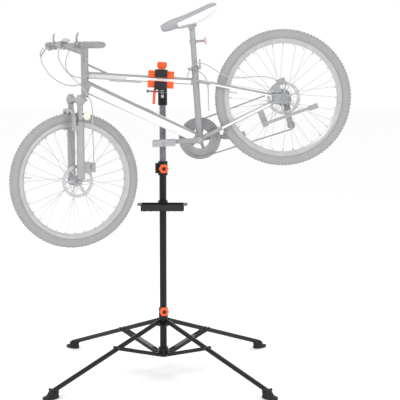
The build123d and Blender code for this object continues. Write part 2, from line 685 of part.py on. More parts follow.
def spokes():
    rods = []
    for side in (1, -1):
        for count in range(SPOKES_PER_SIDE):
            lead = 1 if count % 2 else -1
            hub_turn = 360 / SPOKES_PER_SIDE * (count + (0.5 if side > 0 else 0))
            rim_turn = hub_turn + lead * 66
            hub_y = side * (FLANGE_Y + 2.6 * lead)
            hub_r = FLANGE_R - 5
            start = (hub_r * math.cos(rad(hub_turn)), hub_y, hub_r * math.sin(rad(hub_turn)))
            end_r = RIM_INNER + 1
            end = (end_r * math.cos(rad(rim_turn)), side * 3, end_r * math.sin(rad(rim_turn)))
            rods.append(rod(start, end, SPOKE_R))
    return group(*rods)


def rotor(y):
    disc = rod((0, y - ROTOR_T / 2, 0), (0, y + ROTOR_T / 2, 0), ROTOR_R)
    disc -= rod((0, y - 3, 0), (0, y + 3, 0), ROTOR_R - 16)
    for turn in range(6):
        arm = box((18, y - ROTOR_T / 2, -4), (ROTOR_R - 10, y + ROTOR_T / 2, 4))
        disc += Rot(0, 60 * turn, 0) * arm
    disc += rod((0, y - ROTOR_T / 2, 0), (0, y + ROTOR_T / 2, 0), 24)
    for turn in range(12):
        hole = Rot(0, 30 * turn + 15, 0) * rod((ROTOR_R - 8, y - 3, 0), (ROTOR_R - 8, y + 3, 0), 3)
        disc -= hole
    return disc


def hub_shell(left, right, rotor_y):
    shell = rod((0, left, 0), (0, right, 0), HUB_SHELL_R)
    for side in (1, -1):
        shell += rod((0, side * FLANGE_Y - 1.5, 0), (0, side * FLANGE_Y + 1.5, 0), FLANGE_R)
    shell += rod((0, rotor_y - 1, 0), (0, left + 2, 0), 20)
    shell += rotor(rotor_y)
    return shell - rod((0, left - 40, 0), (0, right + 40, 0), AXLE_R + FIT)


REAR_WHEEL = BIKE * Location(at(REAR_AXLE))
FRONT_WHEEL = FORK * Location(at(FORK_AXLE))
FRONT_HUB_HALF = 43.0
REAR_HUB_LEFT = -50.0
REAR_HUB_RIGHT = 33.0


def front_hub():
    return FRONT_WHEEL * group(hub_shell(-FRONT_HUB_HALF, FRONT_HUB_HALF, FRONT_ROTOR_Y), spokes())


def rear_hub():
    return REAR_WHEEL * group(hub_shell(REAR_HUB_LEFT, REAR_HUB_RIGHT, REAR_ROTOR_Y), spokes())


def cassette():
    first_y = CHAIN_Y + SPROCKET_STEP
    body = rod((0, REAR_HUB_RIGHT + GAP, 0), (0, DROPOUT_Y - DROPOUT_T / 2 - 1, 0), 17)
    for count, radius in enumerate(SPROCKETS[:4]):
        y = first_y - count * SPROCKET_STEP
        disc = Circle(radius)
        teeth = int(radius * 2 * math.pi / 12.7)
        for tooth in range(teeth):
            disc -= Rot(0, 0, 360 / teeth * tooth) * Pos(radius + 1, 0) * Circle(3.4)
        body += side_plate(disc, y - 1, y + 1)
    return REAR_WHEEL * (body - rod((0, 0, 0), (0, 90, 0), AXLE_R + FIT))


# ================================================================ fork and cockpit


def fork_upper():
    steerer = rod((0, 0, -6), (0, 0, STEERER_TOP), STEERER_R, STEERER_R - 2)
    for z in (1, HEAD_TUBE - 11):
        steerer += rod((0, 0, z), (0, 0, z + 10), HEAD_BORE - FIT) - rod((0, 0, z), (0, 0, z + 10), STEERER_R - 2)
    race = rod((0, 0, -6), (0, 0, -0.5), 20) - rod((0, 0, -6), (0, 0, 0), STEERER_R - 2)
    spacers = rod((0, 0, HEAD_TUBE + 0.5), (0, 0, STEM_Z - 22), 18.5)
    spacers -= rod((0, 0, HEAD_TUBE), (0, 0, STEM_Z), STEERER_R - 1)
    crown = box((FORK_LEG_X - 21, -FORK_LEG_Y, -30), (FORK_LEG_X + 21, FORK_LEG_Y, -6))
    crown += box((FORK_LEG_X, -24, -30), (22, 24, -6))
    for side in (1, -1):
        y = side * FORK_LEG_Y
        crown += rod((FORK_LEG_X, y, -34), (FORK_LEG_X, y, -2), 21)
        crown += rod((FORK_LEG_X, y, -2), (FORK_LEG_X, y, 5), 15)
        crown += rod((FORK_LEG_X, y, LOWER_TOP - 70), (FORK_LEG_X, y, -30), STANCHION_R)
    return FORK * (steerer + race + spacers + crown)


def fork_lower():
    low = -AXLE_DROP - 8
    body = Part()
    for side in (1, -1):
        y = side * FORK_LEG_Y
        leg_tube = rod((FORK_LEG_X, y, low + 20), (FORK_LEG_X, y, LOWER_TOP), LOWER_R)
        leg_tube += rod((FORK_LEG_X, y, LOWER_TOP), (FORK_LEG_X, y, LOWER_TOP + 10), LOWER_R - 1.5)
        y_low, y_high = sorted((side * (FORK_LEG_Y - 14), side * (FORK_LEG_Y - 4)))
        tip = outline((FORK_LEG_X + 14, low + 34), (FORK_LEG_X - 16, low + 34), (-RAKE - 14, low),
                      (-RAKE - 6, low - 8), (-RAKE + 8, low - 8), (-RAKE + 16, low))
        leg_tube += side_plate(tip, y_low, y_high)
        body += leg_tube
    arch_x = (FORK_LEG_X - 42, FORK_LEG_X - 27)
    arch = Plane.YZ.offset(arch_x[0]) * (
        outline((-78, LOWER_TOP - 8), (-78, -96), (-54, -58), (54, -58), (78, -96), (78, LOWER_TOP - 8))
        - outline((-56, LOWER_TOP - 9), (-56, -92), (-44, -72), (44, -72), (56, -92), (56, LOWER_TOP - 9)))
    body += extrude(arch, arch_x[1] - arch_x[0])
    for side in (1, -1):
        y_low, y_high = sorted((side * 56, side * 78))
        body += box((arch_x[0], y_low, LOWER_TOP - 34), (FORK_LEG_X, y_high, LOWER_TOP - 8))
        y = side * FORK_LEG_Y
        body -= rod((FORK_LEG_X, y, LOWER_TOP - 200), (FORK_LEG_X, y, LOWER_TOP + 20), STANCHION_R + FIT)
    body += rod((-RAKE, -FORK_LEG_Y - 8, -AXLE_DROP), (-RAKE, FORK_LEG_Y + 8, -AXLE_DROP), AXLE_R)
    for side in (1, -1):
        y = side * (FORK_LEG_Y - 4)
        body += rod((-RAKE, y, -AXLE_DROP), (-RAKE, side * (FORK_LEG_Y + 10), -AXLE_DROP), 9)
    body += box((FORK_LEG_X + 10, -FORK_LEG_Y - 6, -AXLE_DROP + 40), (FORK_LEG_X + 46, -FORK_LEG_Y + 6, -AXLE_DROP + 96))
    return FORK * body


def caliper(y_disc, half_x, half_z, reach):
    body = box((-half_x, y_disc - reach, -half_z), (half_x, y_disc + 10, half_z))
    body += rod((0, y_disc - reach - 6, 4), (0, y_disc - reach, 4), 11)
    return body


def front_caliper():
    x = -RAKE + 74
    z = -AXLE_DROP + 66
    body = Location((x, 0, z)) * caliper(FRONT_ROTOR_Y, 14, 24, 16)
    disc = rod((-RAKE, FRONT_ROTOR_Y - 2.5, -AXLE_DROP), (-RAKE, FRONT_ROTOR_Y + 2.5, -AXLE_DROP), ROTOR_R + 4)
    body -= disc
    bracket = box((FORK_LEG_X + 10, -FORK_LEG_Y - 6, -AXLE_DROP + 40), (FORK_LEG_X + 46, -FORK_LEG_Y + 6, -AXLE_DROP + 96))
    return FORK * (body - bracket)


def rear_caliper():
    ax, az = REAR_AXLE
    body = Location((ax + 16, 0, az + 78)) * caliper(REAR_ROTOR_Y, 22, 15, 14)
    body += box((ax - 30, -DROPOUT_Y + 3, az + 34), (ax + 2, -REAR_ROTOR_Y * -1 - 8, az + 74))
    body -= rod((ax, REAR_ROTOR_Y - 2.5, az), (ax, REAR_ROTOR_Y + 2.5, az), ROTOR_R + 4)
    plate = box((ax - 60, -DROPOUT_Y - 4, az - 40), (ax + 20, -DROPOUT_Y + 3, az + 40))
    stay_space = rod((ax - 150, -55, az + 94), (ax - 20, -62.5, az + 15), STAY_R + 2)
    return BIKE * (body - plate - stay_space)


def stem():
    body = rod((0, 0, STEM_Z - 22), (0, 0, STEM_Z + 20), 19)
    bar_z = STEM_Z + STEM_RISE
    body += rod((-12, 0, STEM_Z), (-STEM_REACH + 14, 0, bar_z - 4), 15)
    body += rod((-STEM_REACH, -23, bar_z), (-STEM_REACH, 23, bar_z), BAR_CLAMP_R + 6)
    body -= rod((0, 0, STEM_Z - 40), (0, 0, STEERER_TOP), STEERER_R)
    body -= rod((-STEM_REACH, -24, bar_z), (-STEM_REACH, 24, bar_z), BAR_CLAMP_R)
    return FORK * body


def bar_point(y):
    """The handlebar's centre line at a distance from the stem."""
    side = abs(y)
    back = max(0.0, side - BAR_KNEE) * math.tan(rad(BAR_SWEEP))
    return (-STEM_REACH + back, y, STEM_Z + STEM_RISE)


def handlebar():
    middle = rod(bar_point(-28), bar_point(28), BAR_CLAMP_R)
    path = FilletPolyline(bar_point(-BAR_HALF), bar_point(-BAR_KNEE), bar_point(BAR_KNEE), bar_point(BAR_HALF), radius=80)
    section = Plane(origin=path @ 0, z_dir=path % 0)
    bar = sweep(section * Circle(BAR_R), path=path) + middle
    return FORK * (bar - sweep(section * Circle(BAR_R - 2), path=path))


def grips():
    shapes = []
    for side in (1, -1):
        inner = bar_point(side * (BAR_HALF - GRIP_LENGTH))
        outer = bar_point(side * (BAR_HALF + 3))
        body = rod(inner, outer, GRIP_R)
        wing_in = bar_point(side * (BAR_HALF - 70))
        wing_out = bar_point(side * (BAR_HALF + 1))
        low, high = sorted((wing_in[1], wing_out[1]))
        x = (wing_in[0] + wing_out[0]) / 2
        wing = box((x + 4, low, wing_in[2] - 2), (x + 44, high, wing_in[2] + 6))
        body += wing
        body -= rod(inner, bar_point(side * BAR_HALF), BAR_R)
        shapes.append(body)
    return FORK * group(*shapes)


def mount_place(side):
    x, y, z = bar_point(side * LEVER_Y)
    return Location((x, y, z), (0, 0, -side * BAR_SWEEP))


BRAKE_PIVOT = (-26.0, 0.0, -16.0)


def lever_mounts():
    shapes = []
    for side in (1, -1):
        body = rod((0, -12, 0), (0, 12, 0), BAR_R + 5)
        px, py, pz = BRAKE_PIVOT
        body += box((px - 9, -9, pz - 9), (-8, 9, pz + 9))
        body += rod((px, -side * 4, pz), (px, -side * 38, pz), 6)
        body += rod((0, -side * 36, 0), (0, -side * 14, 0), BAR_R + 6)
        body += rod((-6, -side * 25, -22), (-6, -side * 25, -6), 17)
        body += Rot(20, 0, 0) * box((-14, -side * 25 - 7, 10), (2, -side * 25 + 7, 62))
        body -= rod((0, -60, 0), (0, 60, 0), BAR_R)
        body -= box((px - 30, -40, pz - 4), (px + 11, 40, pz + 4)) - rod((px, -side * 13, pz), (px, -side * 40, pz), 7)
        body += rod((px, 0, pz - 9), (px, 0, pz + 9), 2.5)
        shapes.append(mount_place(side) * body)
    return FORK * group(*shapes)


def brake_lever(side):
    px, py, pz = BRAKE_PIVOT
    blade = bent_tube([(px, 0, pz), (px - 10, side * 30, pz), (px - 22, side * 110, pz - 34)], [30.0], 3.6)
    blade += rod((px, 0, pz - 3.7), (px, 0, pz + 3.7), 8)
    blade += Pos(px - 22, side * 110, pz - 34) * Sphere(7)
    blade -= rod((px, 0, pz - 5), (px, 0, pz + 5), 2.5 + FIT)
    return FORK * mount_place(side) * blade


def brake_lever_left():
    return brake_lever(-1)


def brake_lever_right():
    return brake_lever(1)


# ================================================================ drive


CHAIN_CORNERS = [
    (-RING_PITCH_R, -RING_PITCH_R),
    (-RING_PITCH_R, RING_PITCH_R),
    (REAR_AXLE[0] + 36, REAR_AXLE[1] + 36),
    (REAR_AXLE[0] + 36, REAR_AXLE[1] - 36),
    (REAR_AXLE[0] - 26, REAR_AXLE[1] - 64),
    (REAR_AXLE[0] + 19, REAR_AXLE[1] - 166),
]
CHAIN_RADII = [RING_PITCH_R - 1, RING_PITCH_R - 1, 35.0, 34.0, 20.0, 20.0]


def corner_centre(index):
    """The centre of the arc that rounds one corner of the chain's path."""
    corner = Vector(*CHAIN_CORNERS[index])
    back = (Vector(*CHAIN_CORNERS[index - 1]) - corner).normalized()
    ahead = (Vector(*CHAIN_CORNERS[(index + 1) % len(CHAIN_CORNERS)]) - corner).normalized()
    half = rad(back.get_angle(ahead)) / 2
    centre = corner + (back + ahead).normalized() * (CHAIN_RADII[index] / math.sin(half))
    return (centre.X, centre.Y)


GUIDE_PULLEY = corner_centre(4)
TENSION_PULLEY = corner_centre(5)


def chain():
    corners = [at(point, CHAIN_Y) for point in CHAIN_CORNERS]
    path = FilletPolyline(*corners, radius=CHAIN_RADII, close=True)
    start = path @ 0
    plane = Plane(origin=start, x_dir=(0, 1, 0), z_dir=path % 0)
    return BIKE * sweep(plane * Rectangle(CHAIN_WIDTH, 2 * CHAIN_HALF), path=path)


def rear_derailleur():
    half = CHAIN_WIDTH / 2 + 1.5
    cage = link_outline(GUIDE_PULLEY, TENSION_PULLEY, 13, 13)
    body = Part()
    for side in (1, -1):
        y_low, y_high = sorted((CHAIN_Y + side * half, CHAIN_Y + side * (half + 2.5)))
        body += side_plate(cage, y_low, y_high)
    for centre in (GUIDE_PULLEY, TENSION_PULLEY):
        body += side_plate(Pos(*centre) * Circle(PULLEY_R), CHAIN_Y - 2.5, CHAIN_Y + 2.5)
        body += rod(at(centre, CHAIN_Y - half), at(centre, CHAIN_Y + half), 4)
    ax, az = REAR_AXLE
    outer = CHAIN_Y + half + 2.5
    body += side_plate(link_outline((ax + 8, az - 44), GUIDE_PULLEY, 15, 15), outer, outer + 20)
    body += rod((ax + 5, DROPOUT_Y + DROPOUT_T / 2, az - 25), (ax + 5, DROPOUT_Y + 17, az - 25), 8)
    body += side_plate(link_outline((ax + 5, az - 25), (ax + 8, az - 44), 8, 12), outer + 12, outer + 20)
    plate = side_plate(outline((ax - 60, az + 40), (ax + 17, az + 40), (ax + 17, az - 19), (ax + 7, az - 36),
                               (ax - 60, az - 36)), DROPOUT_Y - DROPOUT_T / 2, DROPOUT_Y + DROPOUT_T / 2)
    return BIKE * (body - plate)


def crank_arm(y_low, turn):
    arm = side_plate(link_outline((0, 0), (-CRANK, 0), 19, 14), y_low, y_low + CRANK_T)
    return Rot(0, turn, 0) * arm


PEDAL_AXLE = 104.0


def crankset():
    body = rod((0, CRANK_LEFT_Y + 2, 0), (0, CRANK_RIGHT_Y + 2, 0), 9)
    for side in (1, -1):
        body += rod((0, side * 24, 0), (0, side * 33, 0), SHELL_BORE - FIT)
    body += crank_arm(CRANK_LEFT_Y, 0)
    body += crank_arm(CRANK_RIGHT_Y, 180)
    ring_y = CHAIN_Y
    for radius, y in ((RING_R, ring_y), (RING_R - 14, ring_y - 7)):
        disc = Circle(radius)
        teeth = int(radius * 2 * math.pi / 12.7)
        for tooth in range(teeth):
            disc -= Rot(0, 0, 360 / teeth * tooth) * Pos(radius + 1, 0) * Circle(3.4)
        disc -= Circle(radius - 16)
        body += side_plate(disc, y - 1, y + 1)
    guard = Circle(GUARD_R) - Circle(GUARD_R - 26)
    body += side_plate(guard, ring_y + 5, ring_y + 8)
    for turn in range(5):
        spoke = box((0, ring_y + 5, -9), (GUARD_R - 20, ring_y + 10, 9))
        body += Rot(0, 72 * turn, 0) * spoke
        post = rod((RING_R - 17, ring_y - 8, 0), (RING_R - 17, ring_y + 8, 0), 4)
        body += Rot(0, 72 * turn, 0) * post
    body += rod((0, ring_y + 5, 0), (0, CRANK_RIGHT_Y, 0), 22)
    body += rod((-CRANK, CRANK_LEFT_Y, 0), (-CRANK, CRANK_LEFT_Y - PEDAL_AXLE, 0), 6)
    right_out = CRANK_RIGHT_Y + CRANK_T
    body += rod((CRANK, right_out, 0), (CRANK, right_out + PEDAL_AXLE, 0), 6)
    return CRANK_FRAME * body


def pedal(x, y_near, y_far):
    low, high = sorted((y_near, y_far))
    half_x = PEDAL_LENGTH / 2
    half_z = PEDAL_HEIGHT / 2
    body = box((x - half_x, low, -half_z), (x + half_x, high, half_z))
    middle = (low + high) / 2
    for side in (1, -1):
        x_low, x_high = sorted((x + side * 14, x + side * (half_x - 7)))
        for part_low, part_high in ((low + 7, middle - 4), (middle + 4, high - 7)):
            body -= box((x_low, part_low, -half_z - 1), (x_high, part_high, half_z + 1))
    body -= rod((x, low - 1, 0), (x, high + 1, 0), 6 + FIT)
    return CRANK_FRAME * body


def pedal_left():
    near = CRANK_LEFT_Y - 8
    return pedal(-CRANK, near, near - PEDAL_WIDTH)


def pedal_right():
    near = CRANK_RIGHT_Y + CRANK_T + 8
    return pedal(CRANK, near, near + PEDAL_WIDTH)


# ================================================================ kickstand


def kickstand():
    x, z = STAND_PIVOT
    y = STAND_Y - 17
    body = rod((x, y - 8, z), (x, y + 10.5, z), 14)
    body += rod((x, y, z), (x + STAND_LENGTH - 34, y, z - 8), STAND_R)
    body += rod((x + STAND_LENGTH - 46, y, z - 8), (x + STAND_LENGTH, y, z - 10), 13)
    return BIKE * (body - rod((x, y - 12, z), (x, y + 12, z), 6 + FIT))


# ================================================================ cables


def cable(points):
    """A cable housing: straight runs joined by arcs as large as the runs allow."""
    vectors = [Vector(*point) for point in points]
    radii = []
    for index in range(1, len(vectors) - 1):
        before = vectors[index] - vectors[index - 1]
        after = vectors[index + 1] - vectors[index]
        shorter = min(before.length, after.length)
        radii.append(0.45 * shorter / math.tan(rad(before.get_angle(after)) / 2))
    print("cable bends", [round(radius) for radius in radii])
    return bent_tube(points, radii, CABLE_R)


def steering_cables():
    # loops between the lever mounts and the stops behind the head tube
    right = [(-158, 146, 236), (-186, 120, 214), (-190, 84, 160), (-160, 58, 104), (-110, 48, 66), (-56, 50, 50),
             (-8, 46, 56), (30, 34, 76)]
    left = [(-126, -138, 226), (-140, -120, 186), (-132, -92, 140), (-100, -66, 106), (-56, -54, 92), (-14, -52, 96),
            (24, -46, 112)]
    # from the left lever, forward over the bar and down behind the near fork leg
    brake = [(-158, -146, 236), (-172, -108, 226), (-160, -70, 186), (-126, -56, 134), (-84, -72, 88),
             (-40, -98, 40), (-8, -108, -20), (2, -100, -84), (-2, -98, -150), (4, -94, -214), (12, -84, -262),
             (16, -62, -310)]
    return FORK * group(cable(right), cable(left), cable(brake))


def frame_cables():
    # along the underside of the top tube, then to the rear brake and the derailleurs
    under = TOP_TUBE_R + CABLE_R + 1.5
    tube_dir = (math.cos(rad(-TT_DROP)), math.sin(rad(-TT_DROP)))
    side_dir = (-math.sin(rad(TT_DROP)), -math.cos(rad(TT_DROP)))

    def beside(distance, y, below):
        return (TT_FRONT[0] + tube_dir[0] * distance + side_dir[0] * below, y,
                TT_FRONT[1] + tube_dir[1] * distance + side_dir[1] * below)

    ax, az = REAR_AXLE
    lower = [beside(120, 0, under), beside(180, 2, under), beside(240, -2, under), beside(276, 0, under)]
    loop = [(52, -24, 298), (70, -36, 322), (98, -43, 346), (134, -46, 348), (166, -50, 324), (192, -56, 286),
            (222, -62, 246), (264, -67, 216), (314, -69, 200), (364, -68, 186), (410, -66, 166), (446, -62, 138)]
    rear = [(116, 0, 308), (135, 1, 282), (136, -1, 240), (123, 0, 196), (106, 1, 154), (92, -1, 112)]
    return BIKE * group(cable(lower), cable(loop), cable(rear))


# ================================================================ the assembly

NODES = {
    "mast_tube": mast_tube,
    "base_hub": base_hub,
    "leg_collar": leg_collar,
    "collar_knob": collar_knob,
    "post_clamp": post_clamp,
    "post_knob": post_knob,
    "tool_tray": tool_tray,
    "post_tube": post_tube,
    "head_tee": head_tee,
    "head_knob": head_knob,
    "clamp_arm": clamp_arm,
    "jaw_lower": jaw_lower,
    "jaw_upper": jaw_upper,
    "jaw_pad_lower": jaw_pad_lower,
    "jaw_pad_upper": jaw_pad_upper,
    "clamp_stud": clamp_stud,
    "clamp_nut": clamp_nut,
    "cam_lever": cam_lever,
    "frame_front": frame_front,
    "frame_rear": frame_rear,
    "seat_collar": seat_collar,
    "seat_post": seat_post,
    "saddle": saddle,
    "fork_upper": fork_upper,
    "fork_lower": fork_lower,
    "front_caliper": front_caliper,
    "rear_caliper": rear_caliper,
    "stem": stem,
    "handlebar": handlebar,
    "grips": grips,
    "lever_mounts": lever_mounts,
    "brake_lever_left": brake_lever_left,
    "brake_lever_right": brake_lever_right,
    "front_hub_spokes": front_hub,
    "rear_hub_spokes": rear_hub,
    "cassette": cassette,
    "chain": chain,
    "rear_derailleur": rear_derailleur,
    "crankset": crankset,
    "pedal_left": pedal_left,
    "pedal_right": pedal_right,
    "kickstand": kickstand,
    "steering_cables": steering_cables,
    "frame_cables": frame_cables,
}
WHEEL_NODES = {"tyre": tyre, "rim": rim}
LEG_NODES = {"strut": strut, "leg": leg, "foot": foot}


def write_parts():
    os.makedirs("parts", exist_ok=True)
    for name, make in NODES.items():
        export_step(make(), f"parts/{name}.step")
    for name, make in WHEEL_NODES.items():
        shape = make()
        export_step(FRONT_WHEEL * shape, f"parts/front_{name}.step")
        export_step(REAR_WHEEL * shape, f"parts/rear_{name}.step")
    for name, make in LEG_NODES.items():
        shape = make()
        for number, azimuth in enumerate(LEG_AZIMUTHS, 1):
            export_step(Rot(0, 0, azimuth) * shape, f"parts/{name}_{number}.step")


if __name__ == "__main__":
    write_parts()
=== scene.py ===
import json
import math

import bmesh
import bpy
from mathutils import Matrix, Vector


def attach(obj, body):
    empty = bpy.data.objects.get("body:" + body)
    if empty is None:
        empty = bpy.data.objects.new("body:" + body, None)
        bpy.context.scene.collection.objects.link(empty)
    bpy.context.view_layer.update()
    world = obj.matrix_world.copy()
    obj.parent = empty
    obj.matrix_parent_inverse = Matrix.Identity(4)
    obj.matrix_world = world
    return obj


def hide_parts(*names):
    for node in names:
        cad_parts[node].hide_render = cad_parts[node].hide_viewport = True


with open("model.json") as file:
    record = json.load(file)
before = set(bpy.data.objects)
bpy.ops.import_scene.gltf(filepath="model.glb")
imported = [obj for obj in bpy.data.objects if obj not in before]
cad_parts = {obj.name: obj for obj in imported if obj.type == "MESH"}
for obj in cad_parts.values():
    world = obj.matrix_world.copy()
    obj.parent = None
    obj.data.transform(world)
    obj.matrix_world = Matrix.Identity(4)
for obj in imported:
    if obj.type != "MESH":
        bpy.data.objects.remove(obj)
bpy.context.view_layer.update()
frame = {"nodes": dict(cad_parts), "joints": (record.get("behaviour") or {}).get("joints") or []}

nodes = frame["nodes"]
joints = {joint["name"]: joint for joint in frame["joints"]}

# ---------------------------------------------------------------- studio
# The stand is shown on a plain white studio floor under large soft lights.
# The camera looks a little down on it from the front, with a long lens.
camera = bpy.data.objects.new("camera", bpy.data.cameras.new("camera"))
camera.data.lens = 112.8
camera.data.sensor_width = 36
camera.location = (0.19057, -6.39898, 1.66433)
camera.rotation_euler = (math.radians(83.18), 0, 0)
bpy.context.scene.collection.objects.link(camera)
bpy.context.scene.camera = camera
bpy.context.scene.view_settings.view_transform = "Standard"

LAMPS = [("key", (-3.2, -4.6, 4.6), 3.0, 105), ("fill", (4.2, -4.0, 2.6), 3.4, 45),
         ("rim", (0.6, 4.2, 4.4), 3.0, 70)]
LAMP_AIM = Vector((0, 0, 1))
for name, place, width, power in LAMPS:
    lamp = bpy.data.objects.new(name, bpy.data.lights.new(name, "AREA"))
    lamp.data.size = width
    lamp.data.energy = power
    lamp.location = place
    lamp.rotation_euler = (LAMP_AIM - Vector(place)).to_track_quat("-Z", "Y").to_euler()
    bpy.context.scene.collection.objects.link(lamp)

world = bpy.data.worlds.new("studio")
world.use_nodes = True
world.node_tree.nodes["Background"].inputs["Color"].default_value = (1, 1, 1, 1)
world.node_tree.nodes["Background"].inputs["Strength"].default_value = 1.0
bpy.context.scene.world = world


class Wire:
    """A number that one socket gives, so that masks and mottles are written as sums."""

    def __init__(self, finish, socket):
        self.finish = finish
        self.socket = socket

    def maths(self, operation, first, second):
        return self.finish.node("ShaderNodeMath", {"operation": operation}, {0: first, 1: second})

    def __add__(self, other):
        return self.maths("ADD", self, other)

    def __radd__(self, other):
        return self.maths("ADD", other, self)

    def __sub__(self, other):
        return self.maths("SUBTRACT", self, other)

    def __rsub__(self, other):
        return self.maths("SUBTRACT", other, self)

    def __mul__(self, other):
        return self.maths("MULTIPLY", self, other)

    def __rmul__(self, other):
        return self.maths("MULTIPLY", other, self)

    def __gt__(self, other):
        return self.maths("GREATER_THAN", self, other)

    def __lt__(self, other):
        return self.maths("LESS_THAN", self, other)


class Finish:
    """One material, made of nodes around a single shader."""

    def __init__(self, name):
        self.material = bpy.data.materials.new(name)
        self.material.use_nodes = True
        self.tree = self.material.node_tree
        self.shader = self.tree.nodes["Principled BSDF"]
        self.place = self.node("ShaderNodeTexCoord", output="Object")

    def node(self, kind, settings=None, values=None, output=0):
        made = self.tree.nodes.new(kind)
        for name, value in (settings or {}).items():
            setattr(made, name, value)
        for name, value in (values or {}).items():
            if isinstance(value, Wire):
                self.tree.links.new(value.socket, made.inputs[name])
            else:
                made.inputs[name].default_value = value
        return Wire(self, made.outputs[output])

    def feed(self, **values):
        for name, value in values.items():
            socket = self.shader.inputs[name.replace("_", " ")]
            if isinstance(value, Wire):
                self.tree.links.new(value.socket, socket)
            else:
                socket.default_value = value

    def noise(self, scale, detail=4.0):
        return self.node("ShaderNodeTexNoise", None, {"Scale": scale, "Detail": detail, "Vector": self.place})

    def mix(self, share, first, second):
        return self.node("ShaderNodeMix", {"data_type": "RGBA"}, {0: share, 6: first, 7: second}, 2)

    def along(self, origin, direction):
        """The distance of a point from the origin, measured along a direction."""
        shift = Vector(origin).dot(Vector(direction))
        dot = {"operation": "DOT_PRODUCT"}
        return self.node("ShaderNodeVectorMath", dot, {0: self.place, 1: tuple(direction)}, "Value") - shift

    def within(self, value, low, high):
        return (value > low) * (value < high)


def shade(red, green, blue):
    """A colour from the 0 to 255 scale of a paint card."""
    return tuple((part / 255) ** 2.2 for part in (red, green, blue)) + (1.0,)


def coated(name, dark, light, worn, roughness, metallic=0.0, grain=900, depth=0.00015, wear=0.5, radius=0.001,
           coat=0.0, stretch=None):
    """A finish with a mottled tone, a fine grain and edges that are rounded and rubbed."""
    finish = Finish(name)
    grain_place = finish.place
    if stretch:
        settings = {"operation": "MULTIPLY"}
        grain_place = finish.node("ShaderNodeVectorMath", settings, {0: finish.place, 1: stretch})
    mottle = finish.noise(28)
    fine = finish.node("ShaderNodeTexNoise", None, {"Scale": grain, "Detail": 2.0, "Vector": grain_place})
    rounded = finish.node("ShaderNodeBevel", {"samples": 4}, {"Radius": radius}, "Normal")
    facing = finish.node("ShaderNodeNewGeometry", None, None, "Normal")
    turn = finish.node("ShaderNodeVectorMath", {"operation": "DOT_PRODUCT"}, {0: rounded, 1: facing}, "Value")
    edge = finish.node("ShaderNodeMath", {"operation": "MULTIPLY", "use_clamp": True}, {0: 1 - turn, 1: 5.0})
    finish.tone = finish.mix(mottle, dark, light)
    finish.tone = finish.mix(edge * finish.noise(160) * wear, finish.tone, worn)
    bump = finish.node("ShaderNodeBump", None,
                       {"Strength": 0.6, "Distance": depth, "Height": fine, "Normal": rounded})
    finish.feed(Base_Color=finish.tone, Metallic=metallic, Normal=bump)
    finish.feed(Roughness=roughness - 0.08 + fine * 0.16)
    finish.feed(Coat_Weight=coat, Coat_Roughness=0.2)
    return finish


def dress(finish, *names):
    for name in names:
        slots = nodes[name].data.materials
        if not slots:
            slots.append(finish.material)
        for index in range(len(slots)):
            slots[index] = finish.material


floor_finish = Finish("studio_floor")
floor_tone = floor_finish.mix(floor_finish.noise(3), shade(251, 251, 251), shade(254, 254, 254))
floor_finish.feed(Base_Color=floor_tone, Roughness=0.85)
floor_mesh = bmesh.new()
FLOOR_REACH = 30.0
FLOOR_Z = -0.001
for x, y in ((-1, -1), (1, -1), (1, 1), (-1, 1)):
    floor_mesh.verts.new((x * FLOOR_REACH, y * FLOOR_REACH, FLOOR_Z))
floor_mesh.faces.new(floor_mesh.verts)
floor_data = bpy.data.meshes.new("floor")
floor_mesh.to_mesh(floor_data)
floor_data.materials.append(floor_finish.material)
floor = bpy.data.objects.new("floor", floor_data)
bpy.context.scene.collection.objects.link(floor)

# ---------------------------------------------------------------- mast, hub, collar and folding legs
# Round steel tube and pressed steel struts under a satin black powder coat. The legs fold like
# an umbrella on riveted pins, and every rivet has a domed head on both sides.
black_steel = coated("black_steel", shade(14, 15, 17), shade(24, 25, 28), shade(74, 75, 78), 0.34,
                     grain=1400, depth=0.0001, wear=0.5)
black_steel.feed(Specular_IOR_Level=0.32)
dress(black_steel, "mast_tube", "base_hub", "leg_collar", "post_clamp")
for number in (1, 2, 3, 4):
    dress(black_steel, f"strut_{number}", f"leg_{number}")


def stand_on(point, axis):
    """A place whose own Z points along an axis."""
    turn = Vector(axis).to_track_quat("Z", "Y").to_matrix().to_4x4()
    return Matrix.Translation(Vector(point)) @ turn


def on_joint(name, ahead=0.0):
    """The place of a joint, with its own Z along the joint's axis."""
    axis = Vector(joints[name]["axis"])
    return stand_on(Vector(joints[name]["pos_m"]) + axis * ahead, axis)


def aim(place, x, y, z):
    """A direction that is given in a place's own axes."""
    return place.to_3x3() @ Vector((x, y, z))


def arc(radius, start, end, steps, x=0.0):
    """Points along a circle about (x, 0), from one angle in degrees to another."""
    turns = [math.radians(start + (end - start) * step / steps) for step in range(steps + 1)]
    return [(x + radius * math.cos(turn), radius * math.sin(turn)) for turn in turns]


def ellipse(wide, tall, steps):
    """Points round an ellipse."""
    turns = [2 * math.pi * step / steps for step in range(steps)]
    return [(wide * math.cos(turn), tall * math.sin(turn)) for turn in turns]


def drum(radius, low, high):
    """The profile of a solid cylinder."""
    return [(0, low), (radius, low), (radius, high), (0, high)]


